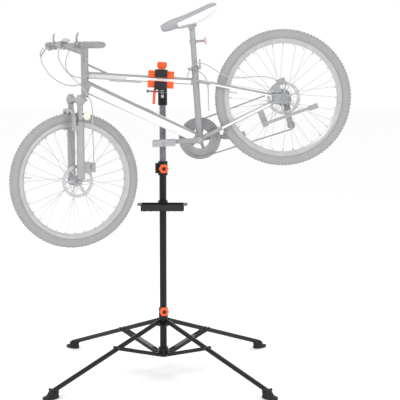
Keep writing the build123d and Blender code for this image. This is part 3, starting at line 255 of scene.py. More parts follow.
def lathe(mesh, place, profile, steps=32, swell=None, closed=False):
    """Turn a list of (radius, height) about the place's Z. Points on the axis close the ends."""
    rings = []
    for radius, height in profile:
        if radius == 0 and not closed:
            rings.append([mesh.verts.new(place @ Vector((0, 0, height)))])
            continue
        ring = []
        for step in range(steps):
            angle = 2 * math.pi * step / steps
            size = swell(angle, radius, height) if swell else radius
            spot = Vector((size * math.cos(angle), size * math.sin(angle), height))
            ring.append(mesh.verts.new(place @ spot))
        rings.append(ring)
    following = rings[1:] + rings[:1] if closed else rings[1:]
    for below, above in zip(rings, following):
        for step in range(steps):
            after = (step + 1) % steps
            if len(below) == 1:
                mesh.faces.new((below[0], above[after], above[step]))
            elif len(above) == 1:
                mesh.faces.new((below[step], below[after], above[0]))
            else:
                mesh.faces.new((below[step], below[after], above[after], above[step]))


def make(name, mesh, finish, body, slot, *stands_for, sharp=35):
    """Finish a mesh as one visible piece that rides on a body."""
    bmesh.ops.recalc_face_normals(mesh, faces=mesh.faces[:])
    data = bpy.data.meshes.new(name)
    mesh.to_mesh(data)
    mesh.free()
    data.materials.append(finish.material)
    data.polygons.foreach_set("use_smooth", [True] * len(data.polygons))
    data.set_sharp_from_angle(angle=math.radians(sharp))
    piece = bpy.data.objects.new(name, data)
    bpy.context.scene.collection.objects.link(piece)
    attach(piece, body)
    if stands_for:
        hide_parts(*stands_for)
    return piece


def domed_head(mesh, point, axis, radius, height):
    """A rivet or bolt head that stands on a face."""
    profile = [(0, -0.0008), (radius, -0.0008), (radius, height * 0.45), (radius * 0.78, height * 0.85),
               (radius * 0.4, height), (0, height)]
    lathe(mesh, stand_on(point, axis), profile, 16)


rivet_steel = coated("rivet_steel", shade(60, 61, 64), shade(84, 85, 88), shade(150, 150, 152), 0.32, 0.8,
                     grain=2600, wear=0.8, radius=0.0006)
LEG_RIVET = 0.0183       # a leg's middle plane to a rivet's head
EYE_RIVET = 0.0163
RIVET_SIZE = (0.0062, 0.0032)
COLLAR_PIN_Z = joints["collar_pivot"]["pos_m"][2]
for number in (1, 2, 3, 4):
    hub_pin = joints["leg_fold" if number == 1 else f"strut_{number}_pivot"]
    leg_pin = joints[f"leg_{number}_pivot"]
    across = Vector(leg_pin["axis"])
    collar_pin = Vector(hub_pin["pos_m"][:2] + [COLLAR_PIN_Z])
    for label, point, body, reach in (("hub", hub_pin["pos_m"], "mast", LEG_RIVET),
                                      ("mid", leg_pin["pos_m"], f"leg_{number}", LEG_RIVET),
                                      ("eye", collar_pin, "collar", EYE_RIVET)):
        rivets = bmesh.new()
        for side in (1, -1):
            domed_head(rivets, Vector(point) + across * side * reach, across * side, *RIVET_SIZE)
        make(f"rivets_{label}_{number}", rivets, rivet_steel, body, "black_steel")

# ---------------------------------------------------------------- feet
# Moulded black rubber shoes, pinned on the leg ends. Their soles are ribbed across, and the
# surface is dull and slightly dusty.
foot_rubber = coated("foot_rubber", shade(12, 12, 13), shade(22, 22, 23), shade(52, 52, 51), 0.68,
                     grain=500, depth=0.0004, wear=0.4, radius=0.003)
# Each ring: height, half length, half width, and how far its middle is ahead of the pin.
SHOE_RINGS = [(0.000, 0.0420, 0.0235, 0.017), (0.0010, 0.0455, 0.0268, 0.017),
              (0.0075, 0.0465, 0.0275, 0.017),
              (0.0105, 0.0450, 0.0262, 0.017), (0.0120, 0.0390, 0.0222, 0.012),
              (0.0180, 0.0345, 0.0205, 0.006),
              (0.0290, 0.0300, 0.0196, 0.000), (0.0390, 0.0250, 0.0186, -0.003),
              (0.0435, 0.0190, 0.0150, -0.004),
              (0.0450, 0.0100, 0.0085, -0.004)]
SHOE_STEPS = 40
SOLE_RIBS = 9
SOLE_MIDDLE = 0.017
SOLE_REACH = 0.047
RIB_LOW = 0.0086
RIB_HIGH = 0.0122


def skin(mesh, rings):
    """Stretch a surface over rings of points, and close both ends."""
    rows = [[mesh.verts.new(point) for point in ring] for ring in rings]
    for before, after in zip(rows, rows[1:]):
        for step in range(len(before)):
            following = (step + 1) % len(before)
            mesh.faces.new((before[step], before[following], after[following], after[step]))
    mesh.faces.new(rows[0][::-1])
    mesh.faces.new(rows[-1])


for number in (1, 2, 3, 4):
    pin = joints[f"foot_{number}_pivot"]
    across = Vector(pin["axis"])
    centre = Vector(pin["pos_m"])
    outward = Vector((centre.x, centre.y, 0)).normalized()
    ground = Vector((centre.x, centre.y, 0))
    shoe = bmesh.new()
    skin(shoe, [[ground + outward * (ahead + x) + across * y + Vector((0, 0, height))
                 for x, y in ellipse(long, wide, SHOE_STEPS)] for height, long, wide, ahead in SHOE_RINGS])
    for side in (1, -1):
        domed_head(shoe, centre + across * side * 0.0186, across * side, 0.0075, 0.0034)
    for count in range(SOLE_RIBS):
        reach = 0.036 * (2 * count / (SOLE_RIBS - 1) - 1)
        half = 0.0262 * math.sqrt(1 - (reach / SOLE_REACH) ** 2)
        spot = ground + outward * (SOLE_MIDDLE + reach)
        rib = [spot + across * half * end + outward * 0.0012 * edge
               for end, edge in ((1, 1), (1, -1), (-1, -1), (-1, 1))]
        skin(shoe, [[point + Vector((0, 0, height)) for point in rib] for height in (RIB_LOW, RIB_HIGH)])
    make(f"shoe_{number}", shoe, foot_rubber, f"foot_{number}", "black_rubber", f"foot_{number}", sharp=50)

# ---------------------------------------------------------------- tool tray
# A shallow black plastic tray with a lip at each end that has holes for screwdrivers. It is
# moulded in one with the sleeve that slides on the mast, with stiffening ribs under the floor.
tray_plastic = coated("tray_plastic", shade(14, 14, 16), shade(24, 24, 26), shade(64, 64, 66), 0.5,
                      grain=1100, depth=0.0003, wear=0.35, radius=0.0015)
dress(tray_plastic, "tool_tray")


def add_to(mesh, part):
    """Move everything in one mesh into another."""
    spare = bpy.data.meshes.new("spare")
    part.to_mesh(spare)
    part.free()
    mesh.from_mesh(spare)
    bpy.data.meshes.remove(spare)


def bar(mesh, low, high, round_off=0.001, place=Matrix.Identity(4)):
    """A bar with rounded edges between two corners."""
    box = bmesh.new()
    bmesh.ops.create_cube(box, size=1.0)
    size = Vector(high) - Vector(low)
    middle = (Vector(high) + Vector(low)) / 2
    stretch = Matrix.Translation(middle) @ Matrix.Diagonal((*size, 1))
    bmesh.ops.transform(box, matrix=place @ stretch, verts=box.verts)
    bmesh.ops.bevel(box, geom=box.edges[:], offset=round_off, segments=2, affect="EDGES")
    add_to(mesh, box)


tray_ribs = bmesh.new()
TRAY_FLOOR = 0.8560
RIB_THICK = 0.0012
for count in range(7):
    x = -0.09 + 0.03 * count
    if abs(x) > 0.02:
        bar(tray_ribs, (x - RIB_THICK, -0.118, TRAY_FLOOR - 0.004),
            (x + RIB_THICK, -0.029, TRAY_FLOOR + 0.001), 0.0004)
for y in (-0.1195, -0.0275):
    bar(tray_ribs, (-0.110, y - 0.0022, 0.8855), (0.110, y + 0.0022, 0.8892), 0.001)
make("tray_ribs", tray_ribs, tray_plastic, "tray", "black_plastic")

# ---------------------------------------------------------------- star knobs
# Moulded orange plastic knobs with six finger lobes, on a threaded steel stem. They clamp the
# leg collar, the post and the tilting arm.
orange_plastic = coated("orange_plastic", shade(238, 84, 26), shade(252, 104, 40), shade(255, 150, 98), 0.42,
                        grain=1500, depth=0.0001, wear=0.6, radius=0.0008)
orange_plastic.feed(Subsurface_Weight=0.06, Subsurface_Radius=(0.01, 0.004, 0.002), Subsurface_Scale=0.4)
KNOB_PROFILE = [(0, 0.0), (0.004, 0.0), (0.004, 0.0065), (0.0125, 0.0068), (0.0135, 0.0125), (0.0205, 0.0132),
                (0.0236, 0.0152), (0.024, 0.0185), (0.024, 0.0272), (0.0232, 0.0306), (0.0205, 0.0326),
                (0.0125, 0.0332), (0.0108, 0.0316), (0.0045, 0.0312), (0, 0.0316)]


def star(angle, radius, height):
    """Six lobes, cut only into the wide part of the knob."""
    if radius < 0.016:
        return radius
    hollow = max(0.0, -math.cos(6 * angle)) ** 1.4
    return radius * (1 - 0.16 * hollow)


KNOB_CAP = [(0, 0), (0.0092, 0), (0.0092, 0.0030), (0.0080, 0.0042), (0.0050, 0.0036), (0.0046, 0.0016),
            (0, 0.0016)]
CAP_LIFT = 0.0300
for name, foot in (("collar_knob", 0.0183), ("post_knob", 0.0183), ("head_knob", 0.0180)):
    knob = bmesh.new()
    lathe(knob, on_joint(f"{name}_turn", foot), KNOB_PROFILE, 96, star)
    make(f"star_{name}", knob, orange_plastic, name, "orange_plastic", name)
    cap = bmesh.new()
    lathe(cap, on_joint(f"{name}_turn", foot + CAP_LIFT), KNOB_CAP, 32)
    make(f"cap_{name}", cap, tray_plastic, name, "black_plastic")

# ---------------------------------------------------------------- sliding post and tee
# The post is plated steel tube, brushed along its length, and slides in the mast. The tee on
# top is a black sleeve welded to the socket of the tilting arm, with a small plain grey plate.
post_steel = coated("post_steel", shade(96, 99, 106), shade(140, 143, 150), shade(190, 192, 196), 0.3, 0.75,
                    grain=420, depth=0.00008, wear=0.5, stretch=(1.0, 1.0, 0.04))
dress(post_steel, "post_tube")
dress(black_steel, "head_tee")
label_finish = coated("label_plate", shade(176, 178, 180), shade(196, 198, 200), shade(220, 220, 220), 0.4,
                      0.3, grain=700)
label = bmesh.new()
SLEEVE_RADIUS = 0.0236
PLATE_THICK = 0.0006
PLATE_LOW = 1.424
PLATE_HEIGHT = 0.016
PLATE_STEP = 0.022
for row in range(2):
    inner, outer = (arc(radius, -108, -72, 9) for radius in (SLEEVE_RADIUS, SLEEVE_RADIUS + PLATE_THICK))
    outline = inner + outer[::-1]
    low = PLATE_LOW + PLATE_STEP * row
    skin(label, [[Vector((x, y, height)) for x, y in outline] for height in (low, low + PLATE_HEIGHT)])
make("sleeve_plate", label, label_finish, "tee", "grey_steel")

# ---------------------------------------------------------------- tilting arm and clamp jaws
# The arm is a black tube with a cast black lower jaw. The upper jaw hinges behind the clamped
# tube, and thick moulded pads stick out on both sides of the two jaws.
cast_black = coated("cast_black", shade(12, 12, 14), shade(22, 22, 24), shade(66, 66, 68), 0.42, 0.0,
                    grain=420, depth=0.0004, wear=0.5, radius=0.0025)
dress(cast_black, "jaw_lower", "jaw_upper")
dress(black_steel, "clamp_arm")
screw_steel = coated("screw_steel", shade(96, 97, 100), shade(132, 133, 136), shade(190, 190, 192), 0.3, 0.9,
                     grain=900, depth=0.0002, wear=0.5, stretch=(0.1, 0.1, 3.0))
dress(screw_steel, "clamp_stud")
nut_axis = Vector(joints["clamp_nut_travel"]["axis"])
ARM_TILT = math.atan2(nut_axis.x, nut_axis.z)
ARM = Matrix.Translation(joints["head_tilt"]["pos_m"]) @ Matrix.Rotation(ARM_TILT, 4, "Y")
JAW = ARM @ Matrix.Translation((0, -0.280, 0.012))
SIDEWAYS = Matrix(((0, 0, 1, 0), (1, 0, 0, 0), (0, 1, 0, 0), (0, 0, 0, 1)))    # outline in Y-Z, depth in X
UPRIGHT = Matrix(((1, 0, 0, 0), (0, 0, -1, 0), (0, 1, 0, 0), (0, 0, 0, 1)))    # outline in X-Z, depth in -Y


def slab(mesh, place, outline, low, high, round_off=0.0015, segments=3):
    """An outline given thickness, with its edges rounded."""
    box = bmesh.new()
    bottom = [box.verts.new((x, y, low)) for x, y in outline]
    top = [box.verts.new((x, y, high)) for x, y in outline]
    box.faces.new(bottom[::-1])
    box.faces.new(top)
    for index in range(len(outline)):
        after = (index + 1) % len(outline)
        box.faces.new((bottom[index], bottom[after], top[after], top[index]))
    edges = [edge for edge in box.edges if edge.calc_face_angle(0) > 0.5]
    bmesh.ops.bevel(box, geom=edges, offset=round_off, segments=segments, affect="EDGES", clamp_overlap=True)
    bmesh.ops.transform(box, matrix=place, verts=box.verts)
    add_to(mesh, box)


pad_rubber = coated("pad_rubber", shade(236, 82, 26), shade(250, 102, 40), shade(255, 146, 92), 0.55,
                    grain=900, depth=0.0003, wear=0.5, radius=0.001)
# The pads' ribs are drawn only as darker stripes repeated along their length: painted shade in the grooves
# between the ribs.
pad_length = pad_rubber.along((0, 0, 0), (1, 0, 0))
painted_groove_shade = pad_rubber.node("ShaderNodeMath", {"operation": "SINE"}, {0: pad_length * 900})
pad_rubber.feed(Base_Color=pad_rubber.mix((painted_groove_shade > 0.55) * 0.35, pad_rubber.tone, shade(205, 66, 20)))
PAD_END = 0.0625
PAD_SIDE = 0.022
PAD_FACE = 0.0085
PAD_BACK = 0.0415
GROOVE = 0.0173
PAD_CORNER = 0.006
groove_start = math.degrees(math.asin(PAD_FACE / GROOVE))
pad_outline = arc(GROOVE, groove_start, 180 - groove_start, 12)
pad_outline += [(-PAD_SIDE, PAD_FACE), (-PAD_SIDE, PAD_BACK - PAD_CORNER), (-PAD_SIDE + PAD_CORNER, PAD_BACK),
                (PAD_SIDE - PAD_CORNER, PAD_BACK), (PAD_SIDE, PAD_BACK - PAD_CORNER), (PAD_SIDE, PAD_FACE)]
for name, body, side in (("jaw_pad_upper", "upper_jaw", 1), ("jaw_pad_lower", "head", -1)):
    pad = bmesh.new()
    outline = [(y, side * z) for y, z in pad_outline]
    slab(pad, JAW @ SIDEWAYS, outline[::side], -PAD_END, PAD_END, 0.0014)
    make(f"grip_{name}", pad, pad_rubber, body, "orange_rubber", name)

STUD = 0.048
nut = bmesh.new()
NUT_SIDE = [(0.0185, 0.0560), (0.0226, 0.0582), (0.0235, 0.0620), (0.0232, 0.0790), (0.0205, 0.0832),
            (0.012, 0.0838)]
nut_outline = [(-0.0175, 0.0485), (0.0175, 0.0485)] + NUT_SIDE + [(-x, z) for x, z in NUT_SIDE[::-1]]
slab(nut, JAW @ Matrix.Translation((0, STUD, 0)) @ UPRIGHT, nut_outline, -0.0108, 0.0108, 0.002)
make("clamp_tee_nut", nut, orange_plastic, "clamp_nut", "orange_plastic", "clamp_nut")

lever = bmesh.new()
PIVOT_X = -0.030
PIVOT_Z = -0.062
LEVER_HALF = 0.0065
lever_side = arc(0.0098, 0, 180, 8)
lever_side += [(-0.0062, -0.012), (-0.0052, -0.032), (-0.0072, -0.052), (-0.0066, -0.0608),
               (-0.0022, -0.0618), (0.0034, -0.0575), (0.0048, -0.040), (0.0052, -0.018)]
lever_side = [(STUD + y, PIVOT_Z + z) for y, z in lever_side]
slab(lever, JAW @ SIDEWAYS, lever_side, PIVOT_X - LEVER_HALF, PIVOT_X + LEVER_HALF, 0.0018)
make("cam_handle", lever, orange_plastic, "cam_lever", "orange_plastic", "cam_lever")

LIP_HALF = 0.0296
LIP_UPPER = [(-0.0335, 0.0105), (-0.0222, 0.0105), (-0.0222, 0.0460), (-0.0285, 0.0475), (-0.0335, 0.0440)]
LIP_LOWER = [(-0.0345, -0.0440), (-0.0222, -0.0440), (-0.0222, -0.0095), (-0.0300, -0.0095),
             (-0.0345, -0.0140)]
for name, body, outline, face in (("upper", "upper_jaw", LIP_UPPER, -0.0332),
                                  ("lower", "head", LIP_LOWER, -0.0342)):
    lip = bmesh.new()
    slab(lip, JAW @ SIDEWAYS, outline, -LIP_HALF, LIP_HALF, 0.0018)
    for side in (1, -1):
        height = sum(z for y, z in outline) / len(outline)
        domed_head(lip, JAW @ Vector((side * 0.017, face, height)), aim(JAW, 0, -1, 0), 0.0042, 0.002)
    make(f"jaw_lip_{name}", lip, cast_black, body, "black_steel")

jaw_bolts = bmesh.new()
for side in (1, -1):
    domed_head(jaw_bolts, JAW @ Vector((side * 0.0292, 0.102, 0.018)), aim(JAW, side, 0, 0), 0.0075, 0.003)
    domed_head(jaw_bolts, JAW @ Vector((side * 0.0292, 0.0, -0.044)), aim(JAW, side, 0, 0), 0.004, 0.002)
make("jaw_bolts", jaw_bolts, screw_steel, "head", "grey_steel")

# ---------------------------------------------------------------- bicycle frame
# Welded alloy tubes in a pale, faded grey paint. The down tube carries a broad white panel, and
# the top tube and the stays have white flashes under a clear lacquer.
BIKE_AXLE = Vector(joints["crank_turn"]["pos_m"])
post_axis = Vector(joints["seat_height"]["axis"])
BIKE_PITCH = math.atan2(post_axis.z, post_axis.x) - math.radians(72.4)
BIKE = Matrix.Translation(BIKE_AXLE) @ Matrix.Rotation(-BIKE_PITCH, 4, "Y")
PAINT_GREY = shade(140, 141, 143)
PAINT_LIGHT = shade(158, 159, 161)
PAINT_PALE = shade(204, 205, 207)
PAINT_WHITE = shade(246, 246, 248)


def line_in_side_view(finish, first, last):
    """Distances along a frame tube from its first point, and upward off its centre line."""
    start = BIKE @ Vector((first[0], 0, first[1]))
    run = BIKE @ Vector((last[0], 0, last[1])) - start
    length = run.length
    run.normalize()
    up = Vector((-run.z, 0, run.x))
    return finish.along(start, run), finish.along(start, up), length


# Each flash: its tube, where it starts and ends (or its gap before the tube's end), its lower and
# upper edge off the centre line, and its tone.
DOWN_TUBE = ((-0.4244, 0.4466), (0.0, 0.0))
TOP_TUBE = ((-0.4050, 0.4959), (0.0850, 0.2678))
SEAT_STAY = ((0.1482, 0.2337), (0.4173, 0.0635))
CHAIN_STAY = ((0.112, 0.011), (0.4113, 0.0375))
FADE_END = 0.205         # where the top tube's pale fade turns white
FRONT_FLASHES = [(DOWN_TUBE, 0.030, None, 0.030, -0.0245, 0.0125, PAINT_WHITE),
                 (TOP_TUBE, 0.022, FADE_END, 0.0, -0.014, 0.006, PAINT_PALE),
                 (TOP_TUBE, FADE_END, None, 0.022, -0.012, 0.0035, PAINT_WHITE)]
REAR_FLASHES = [(SEAT_STAY, 0.0, None, 0.02, -0.012, -0.001, PAINT_WHITE),
                (CHAIN_STAY, 0.01, None, 0.03, -0.0035, 0.005, PAINT_WHITE)]
for name, node, flashes in (("frame_paint", "frame_front", FRONT_FLASHES),
                            ("stay_paint", "frame_rear", REAR_FLASHES)):
    paint = coated(name, PAINT_GREY, PAINT_LIGHT, shade(196, 198, 200), 0.32, 0.0, grain=1800, depth=0.00004,
                   wear=0.3, coat=0.5)
    for tube, start, end, gap, below, above, tone in flashes:
        run, off, length = line_in_side_view(paint, *tube)
        flash = paint.within(run, start, end or length - gap) * paint.within(off, below, above)
        paint.tone = paint.mix(flash, paint.tone, tone)
    paint.feed(Base_Color=paint.tone)
    dress(paint, node)

weld_finish = coated("weld_bead", shade(140, 142, 146), shade(158, 160, 164), shade(180, 182, 184), 0.4,
                     grain=700, depth=0.0004, coat=0.4)
WELD = [(0.0142, -0.0025), (0.0184, -0.002), (0.0192, 0), (0.0184, 0.002), (0.0142, 0.0025)]
WELD_GAP = 0.0195
welds = bmesh.new()
for centre, toward in (TOP_TUBE, TOP_TUBE[::-1]):
    start = BIKE @ Vector((centre[0], 0, centre[1]))
    axis = (BIKE @ Vector((toward[0], 0, toward[1])) - start).normalized()
    lathe(welds, stand_on(start + axis * WELD_GAP, axis), WELD, 40, closed=True)
make("weld_beads", welds, weld_finish, "head", "grey_paint")

# ---------------------------------------------------------------- seat post, collar and rear reflector
# A plain alloy post with a clamp for the saddle rails, held by a quick-release collar. A small
# red-tinted reflector sits on a short bracket behind the post.
satin_alloy = coated("satin_alloy", shade(148, 149, 151), shade(172, 173, 175), shade(220, 220, 222), 0.34,
                     0.35, grain=800, depth=0.0001, wear=0.5)
dress(satin_alloy, "seat_post", "seat_collar")


def prismatic(name, dark, light, worn, roughness, coat, scale, deep, prism_glint_tone):
    """A clear plastic lens over small square prisms, with painted reflection: dark middles, light edges."""
    finish = coated(name, dark, light, worn, roughness, coat=coat)
    values = {"Scale": scale, "Vector": finish.place}
    # The grid of prisms is real; each cell's grading from a dark middle to a light edge is painted
    # reflection.
    painted_prism_glint = finish.node("ShaderNodeTexVoronoi", {"distance": "CHEBYCHEV"}, values)
    finish.feed(Base_Color=finish.mix(painted_prism_glint, deep, prism_glint_tone))
    return finish


reflector_finish = prismatic("rear_reflector", shade(208, 170, 178), shade(226, 190, 196),
                             shade(236, 210, 214),
                             0.18, 0.8, 420, shade(196, 148, 158), shade(236, 206, 212))
bracket = bmesh.new()
POST_BAND = BIKE @ Matrix.Rotation(math.radians(17.6), 4, "Y")
bar(bracket, (0.010, -0.004, 0.468), (0.058, 0.004, 0.480), 0.0015, POST_BAND)
POST_RING = [(0.0137, 0), (0.0168, 0), (0.0168, 0.016), (0.0137, 0.016)]
lathe(bracket, POST_BAND @ Matrix.Translation((0, 0, 0.466)), POST_RING, 40, closed=True)
make("reflector_bracket", bracket, satin_alloy, "seat", "alloy")
reflector = bmesh.new()
bar(reflector, (0.056, -0.024, 0.455), (0.066, 0.024, 0.493), 0.003, POST_BAND)
make("rear_reflector", reflector, reflector_finish, "seat", "pedal_plastic")

# ---------------------------------------------------------------- saddle
# A foam saddle in a tight sewn cover. The top panel is grey, the lower skirt is pale, and a
# stitched seam runs round between them.
saddle_cover = coated("saddle_cover", shade(150, 151, 155), shade(168, 169, 173), shade(186, 187, 190), 0.6,
                      grain=1500, depth=0.0002, wear=0.2, radius=0.002)
BIKE_UP = BIKE.to_3x3() @ Vector((0, 0, 1))
BIKE_BACK = BIKE.to_3x3() @ Vector((1, 0, 0))
SADDLE_TOP = 0.588
SEAM_DROP = -0.032
SEAM_HALF = 0.0012
lift = saddle_cover.along(BIKE @ Vector((0, 0, SADDLE_TOP)), BIKE_UP)
back = saddle_cover.along(BIKE_AXLE, BIKE_BACK)
seam_lift = lift - back * 0.05
skirt = (seam_lift < SEAM_DROP) * (back > 0.105)
seam = saddle_cover.within(seam_lift, SEAM_DROP - SEAM_HALF, SEAM_DROP + SEAM_HALF)
stitch = saddle_cover.node("ShaderNodeMath", {"operation": "SINE"}, {0: back * 1400}) > 0.1
saddle_cover.tone = saddle_cover.mix(skirt, saddle_cover.tone, shade(232, 232, 234))
saddle_cover.tone = saddle_cover.mix(seam * stitch * 0.6, saddle_cover.tone, shade(110, 111, 114))
leather = saddle_cover.node("ShaderNodeTexVoronoi", {"feature": "DISTANCE_TO_EDGE"},
                            {"Scale": 520, "Vector": saddle_cover.place}, "Distance")
hide = saddle_cover.node("ShaderNodeBump", None,
                         {"Strength": 0.35, "Distance": 0.0006, "Height": leather - seam * 0.4})
saddle_cover.feed(Base_Color=saddle_cover.tone, Normal=hide)
# Each station: its share of the length from the nose, its width, its height and its rise.
STATIONS = [(0.004, 0.022, 0.024, -0.010), (0.02, 0.036, 0.034, -0.006), (0.08, 0.044, 0.041, -0.003),
            (0.20, 0.050, 0.045, -0.001), (0.35, 0.058, 0.050, 0.0), (0.50, 0.076, 0.056, -0.001),
            (0.62, 0.100, 0.060, 0.0), (0.74, 0.126, 0.060, 0.001), (0.85, 0.146, 0.056, 0.003),
            (0.93, 0.140, 0.048, 0.004), (0.98, 0.118, 0.036, 0.003), (0.996, 0.084, 0.024, 0.0)]
NOSE_X = 0.020
SADDLE_LENGTH = 0.294
SADDLE_CROWN = 0.62      # share of the height above the widest line
SEAT_STEPS = 20
seat = bmesh.new()
rings = []
for share, width, height, rise in STATIONS:
    ring = []
    for step in range(SEAT_STEPS):
        turn = 2 * math.pi * step / SEAT_STEPS
        y = math.copysign(abs(math.cos(turn)) ** 0.75, math.cos(turn)) * width / 2
        above = math.sin(turn) > 0
        part = SADDLE_CROWN if above else 1 - SADDLE_CROWN
        z = math.copysign(abs(math.sin(turn)) ** 0.8, math.sin(turn)) * part * height
        dish = -0.004 * math.exp(-(y / 0.016) ** 2) if above and share > 0.3 else 0.0
        level = SADDLE_TOP + rise - SADDLE_CROWN * height
        ring.append(BIKE @ Vector((NOSE_X + share * SADDLE_LENGTH, y, level + z + dish)))
    rings.append(ring)
skin(seat, rings)
saddle = make("saddle_pad", seat, saddle_cover, "seat", "saddle_cover", "saddle", sharp=180)


PRESSURE_STEPS = 20


def inflate(piece, voxel, pressure, cap):
    """Blow a pad up like a stuffed cover, with no point moving further than the cap."""
    remesh = piece.modifiers.new("remesh", "REMESH")
    remesh.mode = "VOXEL"
    remesh.voxel_size = voxel
    graph = bpy.context.evaluated_depsgraph_get()
    piece.data = bpy.data.meshes.new_from_object(piece.evaluated_get(graph))
    piece.modifiers.clear()
    cloth = piece.modifiers.new("cloth", "CLOTH")
    cloth.settings.use_pressure = True
    cloth.settings.uniform_pressure_force = pressure
    cloth.settings.effector_weights.gravity = 0
    cloth.settings.tension_stiffness = 40
    cloth.point_cache.frame_start = 1
    cloth.point_cache.frame_end = PRESSURE_STEPS
    for step in range(1, PRESSURE_STEPS + 1):
        bpy.context.scene.frame_set(step)
    graph = bpy.context.evaluated_depsgraph_get()
    blown = bpy.data.meshes.new_from_object(piece.evaluated_get(graph))
    piece.modifiers.clear()
    bpy.context.scene.frame_set(1)
    for vertex, moved in zip(piece.data.vertices, blown.vertices):
        move = moved.co - vertex.co
        if move.length > cap:
            move *= cap / move.length
        vertex.co = vertex.co + move
    bpy.data.meshes.remove(blown)


inflate(saddle, 0.005, 4.0, 0.003)
smoother = saddle.modifiers.new("round", "SUBSURF")
smoother.levels = 1
smoother.render_levels = 1

# ---------------------------------------------------------------- tyres
# Moulded off-road tyres with staggered centre blocks and taller shoulder blocks, faded to a pale grey.
tyre_rubber = coated("tyre_rubber", shade(148, 148, 149), shade(162, 162, 163), shade(182, 182, 183), 0.7,
                     grain=700, depth=0.0003, wear=0.3, radius=0.0006)
CASING = 0.0238
TYRE_MIDDLE = 0.306
CASING_WALL = 0.003
BLOCKS = 60
# Each row of blocks: its tilt in degrees, its shift in blocks, and a block's length, width and rise.
TREAD_ROWS = [(0, 0.0, 0.0085, 0.0072, 0.0034), (19, 0.5, 0.0080, 0.0070, 0.0034),
              (-19, 0.5, 0.0080, 0.0070, 0.0034),
              (41, 0.0, 0.0100, 0.0066, 0.0030), (-41, 0.0, 0.0100, 0.0066, 0.0030)]
for wheel in ("front", "rear"):
    place = on_joint(f"{wheel}_wheel_spin")
    tyre = bmesh.new()
    outer = arc(CASING, -142, 142, 22, TYRE_MIDDLE)
    inner = arc(CASING - CASING_WALL, 140, -140, 14, TYRE_MIDDLE)
    lathe(tyre, place, outer + inner, 120, closed=True)
    for tilt, shift, long, wide, tall in TREAD_ROWS:
        lean = math.radians(tilt)
        for block in range(BLOCKS):
            turn = 2 * math.pi * (block + shift) / BLOCKS
            radial = Vector((math.cos(turn), math.sin(turn), 0))
            ahead = Vector((-math.sin(turn), math.cos(turn), 0))
            outward = radial * math.cos(lean) + Vector((0, 0, math.sin(lean)))
            sideways = Vector((0, 0, math.cos(lean))) - radial * math.sin(lean)
            root = radial * TYRE_MIDDLE + outward * (CASING - 0.001)
            sides = [ahead * a * long / 2 + sideways * b * wide / 2
                     for a, b in ((-1, -1), (1, -1), (1, 1), (-1, 1))]
            skin(tyre, [[place @ (root + outward * rise + side * shrink) for side in sides]
                        for rise, shrink in ((0.0, 1.0), (tall, 0.82))])
    make(f"{wheel}_tread_tyre", tyre, tyre_rubber, f"{wheel}_wheel", "tyre_rubber", f"{wheel}_tyre", sharp=30)

# ---------------------------------------------------------------- rims, hubs, spokes and rotors
# Double-wall alloy rims laced with wire spokes. Each spoke ends in a brass nipple, each rim has
# one valve, and the drilled steel brake rotors are bolted to the hubs on the left.
rim_alloy = coated("rim_alloy", shade(168, 169, 171), shade(196, 197, 199), shade(232, 232, 234), 0.3, 0.3,
                   grain=900, depth=0.0001, wear=0.4, radius=0.0008)
dress(rim_alloy, "front_rim", "rear_rim")
spoke_steel = coated("spoke_steel", shade(168, 169, 171), shade(194, 195, 197), shade(236, 236, 238), 0.28,
                     0.3,
                     grain=1800, depth=0.00003, wear=0.3, radius=0.0003)
dress(spoke_steel, "front_hub_spokes", "rear_hub_spokes")
NIPPLE = [(0, 0.0), (0.0021, 0.0), (0.0021, 0.010), (0.0012, 0.0125), (0, 0.0125)]
VALVE = [(0, 0.0), (0.0032, 0.0), (0.0032, 0.003), (0.0026, 0.0035), (0.0026, 0.026), (0.0032, 0.027),
         (0.0032, 0.036), (0.002, 0.038), (0, 0.038)]
RIM_FACE = 0.2625
SPOKES = 32
VALVE_TURN = 0.098       # half the gap between two spokes
NIPPLE_STAGGER = 0.0028
ROTOR_BOLTS = 6
ROTOR_BOLT_R = 0.022
for wheel, rotor_face in (("front", -0.0422), ("rear", -0.0492)):
    place = on_joint(f"{wheel}_wheel_spin")
    small = bmesh.new()
    for count, (x, y) in enumerate(ellipse(RIM_FACE, RIM_FACE, SPOKES)):
        spot = place @ Vector((x, y, NIPPLE_STAGGER if count % 2 else -NIPPLE_STAGGER))
        lathe(small, stand_on(spot, place.translation - spot), NIPPLE, 10)
    spot = place @ Vector((RIM_FACE * math.cos(VALVE_TURN), RIM_FACE * math.sin(VALVE_TURN), 0))
    lathe(small, stand_on(spot, place.translation - spot), VALVE, 14)
    for x, y in ellipse(ROTOR_BOLT_R, ROTOR_BOLT_R, ROTOR_BOLTS):
        domed_head(small, place @ Vector((x, y, rotor_face)), aim(place, 0, 0, -1), 0.0032, 0.0018)
    make(f"{wheel}_nipples_valve", small, spoke_steel, f"{wheel}_wheel", "alloy")

# ---------------------------------------------------------------- suspension fork
# Painted crown and lower legs on polished stanchions, with rubber wipers where the stanchions
# enter. A small clear reflector is fixed beside the near leg, and its lens is moulded in prisms.
fork_paint = coated("fork_paint", shade(146, 147, 149), shade(166, 167, 169), shade(204, 205, 208), 0.34, 0.1,
                    grain=1300, depth=0.00006, wear=0.4, radius=0.0015, coat=0.4)
dress(fork_paint, "fork_lower")
bar_shine = coated("stanchion_steel", shade(150, 151, 154), shade(176, 177, 180), shade(220, 220, 222), 0.22,
                   0.4,
                   grain=600, depth=0.00003, wear=0.4, stretch=(1.0, 1.0, 0.2))
STEER_UP = Vector(joints["steering"]["axis"])
STEER_SIDE = Vector(joints["front_wheel_spin"]["axis"])
STEER_BACK = STEER_SIDE.cross(STEER_UP).normalized()
STEER_AXES = Matrix((STEER_BACK, STEER_SIDE, STEER_UP)).transposed().to_4x4()
FORK = Matrix.Translation(joints["steering"]["pos_m"]) @ STEER_AXES
LEG_X = -0.050
LEG_Y = 0.065
WIPER_Z = -0.118
CAP_Z = 0.0045
STANCHION = drum(0.014, -0.196, -0.034)
